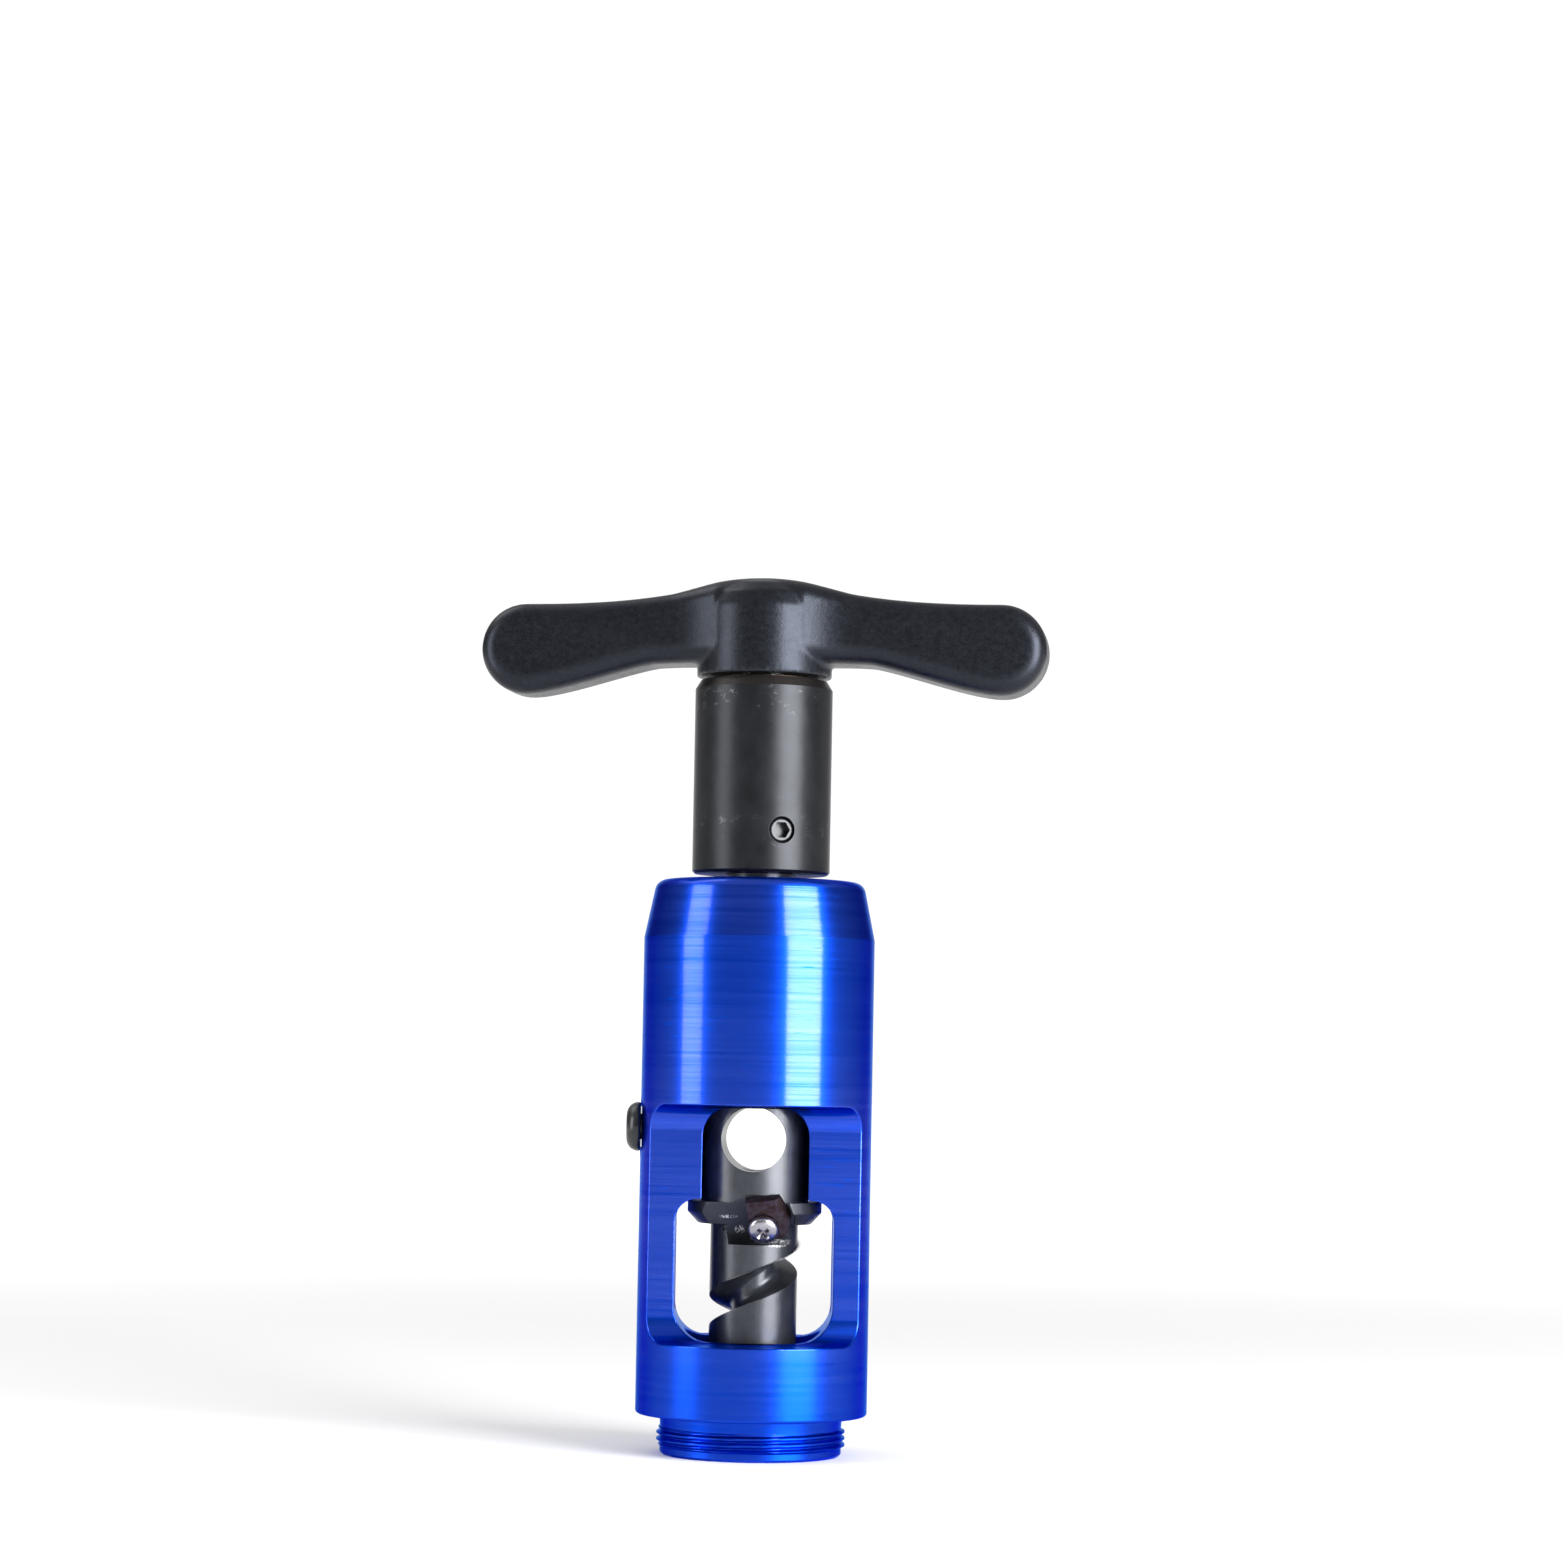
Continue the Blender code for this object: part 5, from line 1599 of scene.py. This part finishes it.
@dataclass
class Studio:
    """Pale floor, soft lights, a room that is bright behind the tool, and the camera."""

    floor_radius: float = 9.0
    front: float = 0.20
    sides: float = 0.20
    overhead: float = 0.40
    behind: float = 1.05
    camera_distance: float = 0.740
    camera_side: float = -0.0008
    camera_height: float = 0.0739
    lens: float = 87.27
    roll: float = math.radians(-1.05)
    pitch: float = math.radians(2.75)
    yaw: float = math.radians(0.43)
    rise: float = 0.07
    lights: tuple[Softbox, ...] = (
        Softbox("right_softbox", 46, 0.215, 0.62, 0.42, 0.44, 10.5),
        Softbox("left_softbox", -68, 0.215, 0.62, 0.26, 0.44, 2.2),
        Softbox("top_softbox", 250, 0.80, 0.50, 0.5, 0.5, 1.6),
    )

    def add_floor(self) -> None:
        """Make the floor, which grows as bright as the room far from the tool."""
        radius = self.floor_radius
        outline = [(radius * math.cos(math.tau * i / 96), radius * math.sin(math.tau * i / 96))
                   for i in range(96)]
        floor = Bench.prism("floor", outline, -0.01, 0.0)
        recipe = Recipe("pale_floor")
        cloud = recipe.noise(0.6)
        far = recipe.node("ShaderNodeVectorMath", {"operation": "LENGTH"}, {0: recipe.place()},
                          "Value").ramp(0.15, 1.3)
        floor.data.materials.append(recipe.finish(
            {"Specular IOR Level": 0.2, "Roughness": 0.85, "Emission Strength": 0.8},
            {"Base Color": recipe.mix(cloud, (0.86, 0.86, 0.86), (0.89, 0.89, 0.89)),
             "Emission Color": recipe.mix(far, (0.0, 0.0, 0.0), (1.0, 1.0, 1.0))}))
        floor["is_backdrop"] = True

    def add_world(self) -> None:
        """Light the room: dim in front, bright behind the tool and low down."""
        world = bpy.data.worlds.new("room")
        world.use_nodes = True
        sheet = NodeSheet(world.node_tree)
        way = sheet.node("ShaderNodeTexCoord", output="Generated")
        back = sheet.node("ShaderNodeSeparateXYZ", {}, {0: way}, "Y")
        up = sheet.node("ShaderNodeSeparateXYZ", {}, {0: way}, "Z")
        bright = back.ramp(0.85, 0.93)
        level = self.front + back.ramp(-0.4, 0.4) * (self.sides - self.front)
        level = level + up.ramp(0.15, 0.7) * self.overhead + bright * (self.behind - self.sides)
        background = world.node_tree.nodes["Background"]
        sheet.feed(background.inputs["Strength"], level)
        background.inputs["Color"].default_value = (1.0, 1.0, 1.0, 1.0)
        bpy.context.scene.world = world

    def add_camera(self) -> None:
        """Place the camera in front of the tool, at the height of its body."""
        data = bpy.data.cameras.new("camera")
        data.lens = self.lens
        data.sensor_width = 36.0
        data.shift_y = self.rise
        data.clip_start = 0.01
        data.clip_end = 20.0
        camera = bpy.data.objects.new("camera", data)
        bpy.context.scene.collection.objects.link(camera)
        level = Matrix.Rotation(self.roll, 4, "Y") @ Matrix.Rotation(math.pi / 2, 4, "X")
        aim = Matrix.Rotation(-self.yaw, 4, "Y") @ Matrix.Rotation(self.pitch, 4, "X")
        place = Matrix.Translation((self.camera_side, -self.camera_distance, self.camera_height))
        camera.matrix_world = place @ level @ aim
        bpy.context.scene.camera = camera

    def build(self, target: Vector) -> None:
        """Set up the whole studio.

        Args:
            target: The tool's middle, which the lights face.
        """
        self.add_floor()
        self.add_world()
        self.add_camera()
        for light in self.lights:
            light.add(target)
        bpy.context.scene.view_settings.view_transform = "Standard"
        LOG.info("studio: %d lights", len(self.lights))


# ---------------------------------------------------------------- assembly


@dataclass
class CarriedOver:
    """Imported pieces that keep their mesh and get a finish."""

    nodes: dict[str, bpy.types.Object]

    def dress(self, material: bpy.types.Material, *names: str) -> None:
        """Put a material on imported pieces.

        Args:
            material: The finish.
            names: What the pieces' names start with.
        """
        for name in sorted(self.nodes):
            if name.startswith(names):
                data = self.nodes[name].data
                data.materials.clear()
                data.materials.append(material)
                LOG.info("%s keeps its packed mesh, in %s", name, material.name)


def main() -> None:
    """Build the tool's looks piece by piece."""
    logging.basicConfig(level=logging.INFO, format="%(name)s: %(message)s")
    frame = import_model()

    blue = AnodisedAluminium().material()
    blue_edge = BlueEdgeWearAndHighlight().material()
    dress(Housing().build(), (blue, blue_edge), "housing", BODY)

    arbor = Arbor()
    seat = arbor.seat_place()
    ledge = Scrape((0.0045, -0.0065, 0.0413), (0.0030, 0.0050, 0.0011))
    chips = Scrape((-0.0028, -0.0060, 0.0437), (0.0012, 0.0060, 0.0010), 0.0005)
    nicks = Scrape((-0.0050, -0.0090, 0.0462), (0.0022, 0.0060, 0.0004), 0.0004)
    steel_edge = WornSteelEdge("arbor_worn_edge").material()
    black = BlackOxide("arbor_black_oxide", scrapes=(ledge, chips, nicks)).material()
    # Near-black oxide of the slot floor: painted shade under the blade. The chips and nicks on it are
    # real wear.
    slot_painted_shade = BlackOxide("slot_painted_shade_oxide", colour=(0.007, 0.006, 0.007), roughness=0.5,
                            specular=0.12, metallic=0.0, scrapes=(chips, nicks)).material()
    dress(arbor.build(), (black, steel_edge, slot_painted_shade), "arbor", BODY)

    screw_black = BlackOxide("screw_black_oxide", colour=(0.016, 0.017, 0.020), roughness=0.32,
                             streak=(1, 1, 1)).material()
    screw_edge = WornSteelEdge("screw_worn_edge", amount=0.25).material()
    dress(RetainingScrew().build(), (screw_black, screw_edge), "retaining_screw", BODY)

    blade = StripBlade()
    tint = HeatTintedBlade().material()
    blade_edge = WornSteelEdge("blade_worn_edge", colour=(0.10, 0.07, 0.08), amount=0.35).material()
    dress(blade.build(seat), (tint, blade_edge), "strip_blade", BODY)
    plated = BareMetal("plated_screw", (0.34, 0.33, 0.36), 0.27, dirt=0.5).material()
    rim = BareMetal("plated_screw_rim", (0.80, 0.79, 0.80), 0.2, dirt=0.1).material()
    # Near-black metal for the inside of the cross recess: darker in the recess.
    grime = BareMetal("screw_recess_near_black", (0.03, 0.026, 0.024), 0.5, dirt=0.4).material()
    dress(blade.build_screw(seat), (plated, rim, grime), "strip_blade_screw", BODY)

    collar = DriveCollar()
    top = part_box("drive_collar")[1].z
    oxide = CollarOxide(top - collar.chamfer[1], (top - 0.0045, top - 0.030)).material()
    collar_edge = WornSteelEdge("collar_worn_edge", colour=(0.12, 0.12, 0.13), amount=0.6).material()
    dress(collar.build(), (oxide, collar_edge), "drive_collar", BODY)
    dress(collar.build_set_screw(), (screw_black, screw_edge), "collar_set_screw", BODY)

    nylon = GlassFilledNylon().material()
    dress(Handle().build(), (nylon,), "t_handle", HANDLE)

    carried = CarriedOver(frame["nodes"])
    carried.dress(BareMetal("ground_steel", (0.60, 0.61, 0.63), 0.22).material(),
                  "handle_stud", "stud_ring", "clutch_cup", "clutch_roller", "clutch_spring",
                  "cartridge_ring")
    # Oiled bronze made near black: the washer's dark ring between handle and collar is partly painted
    # shade of the gap.
    carried.dress(BareMetal("oiled_bronze_and_gap_shade", (0.030, 0.023, 0.018), 0.45, dirt=0.3).material(),
                  "stud_bush", "thrust_washer")
    carried.dress(PaleNylon().material(), "clutch_cage")

    low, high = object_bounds()
    Studio().build((low + high) / 2)


if __name__ == "__main__":
    main()
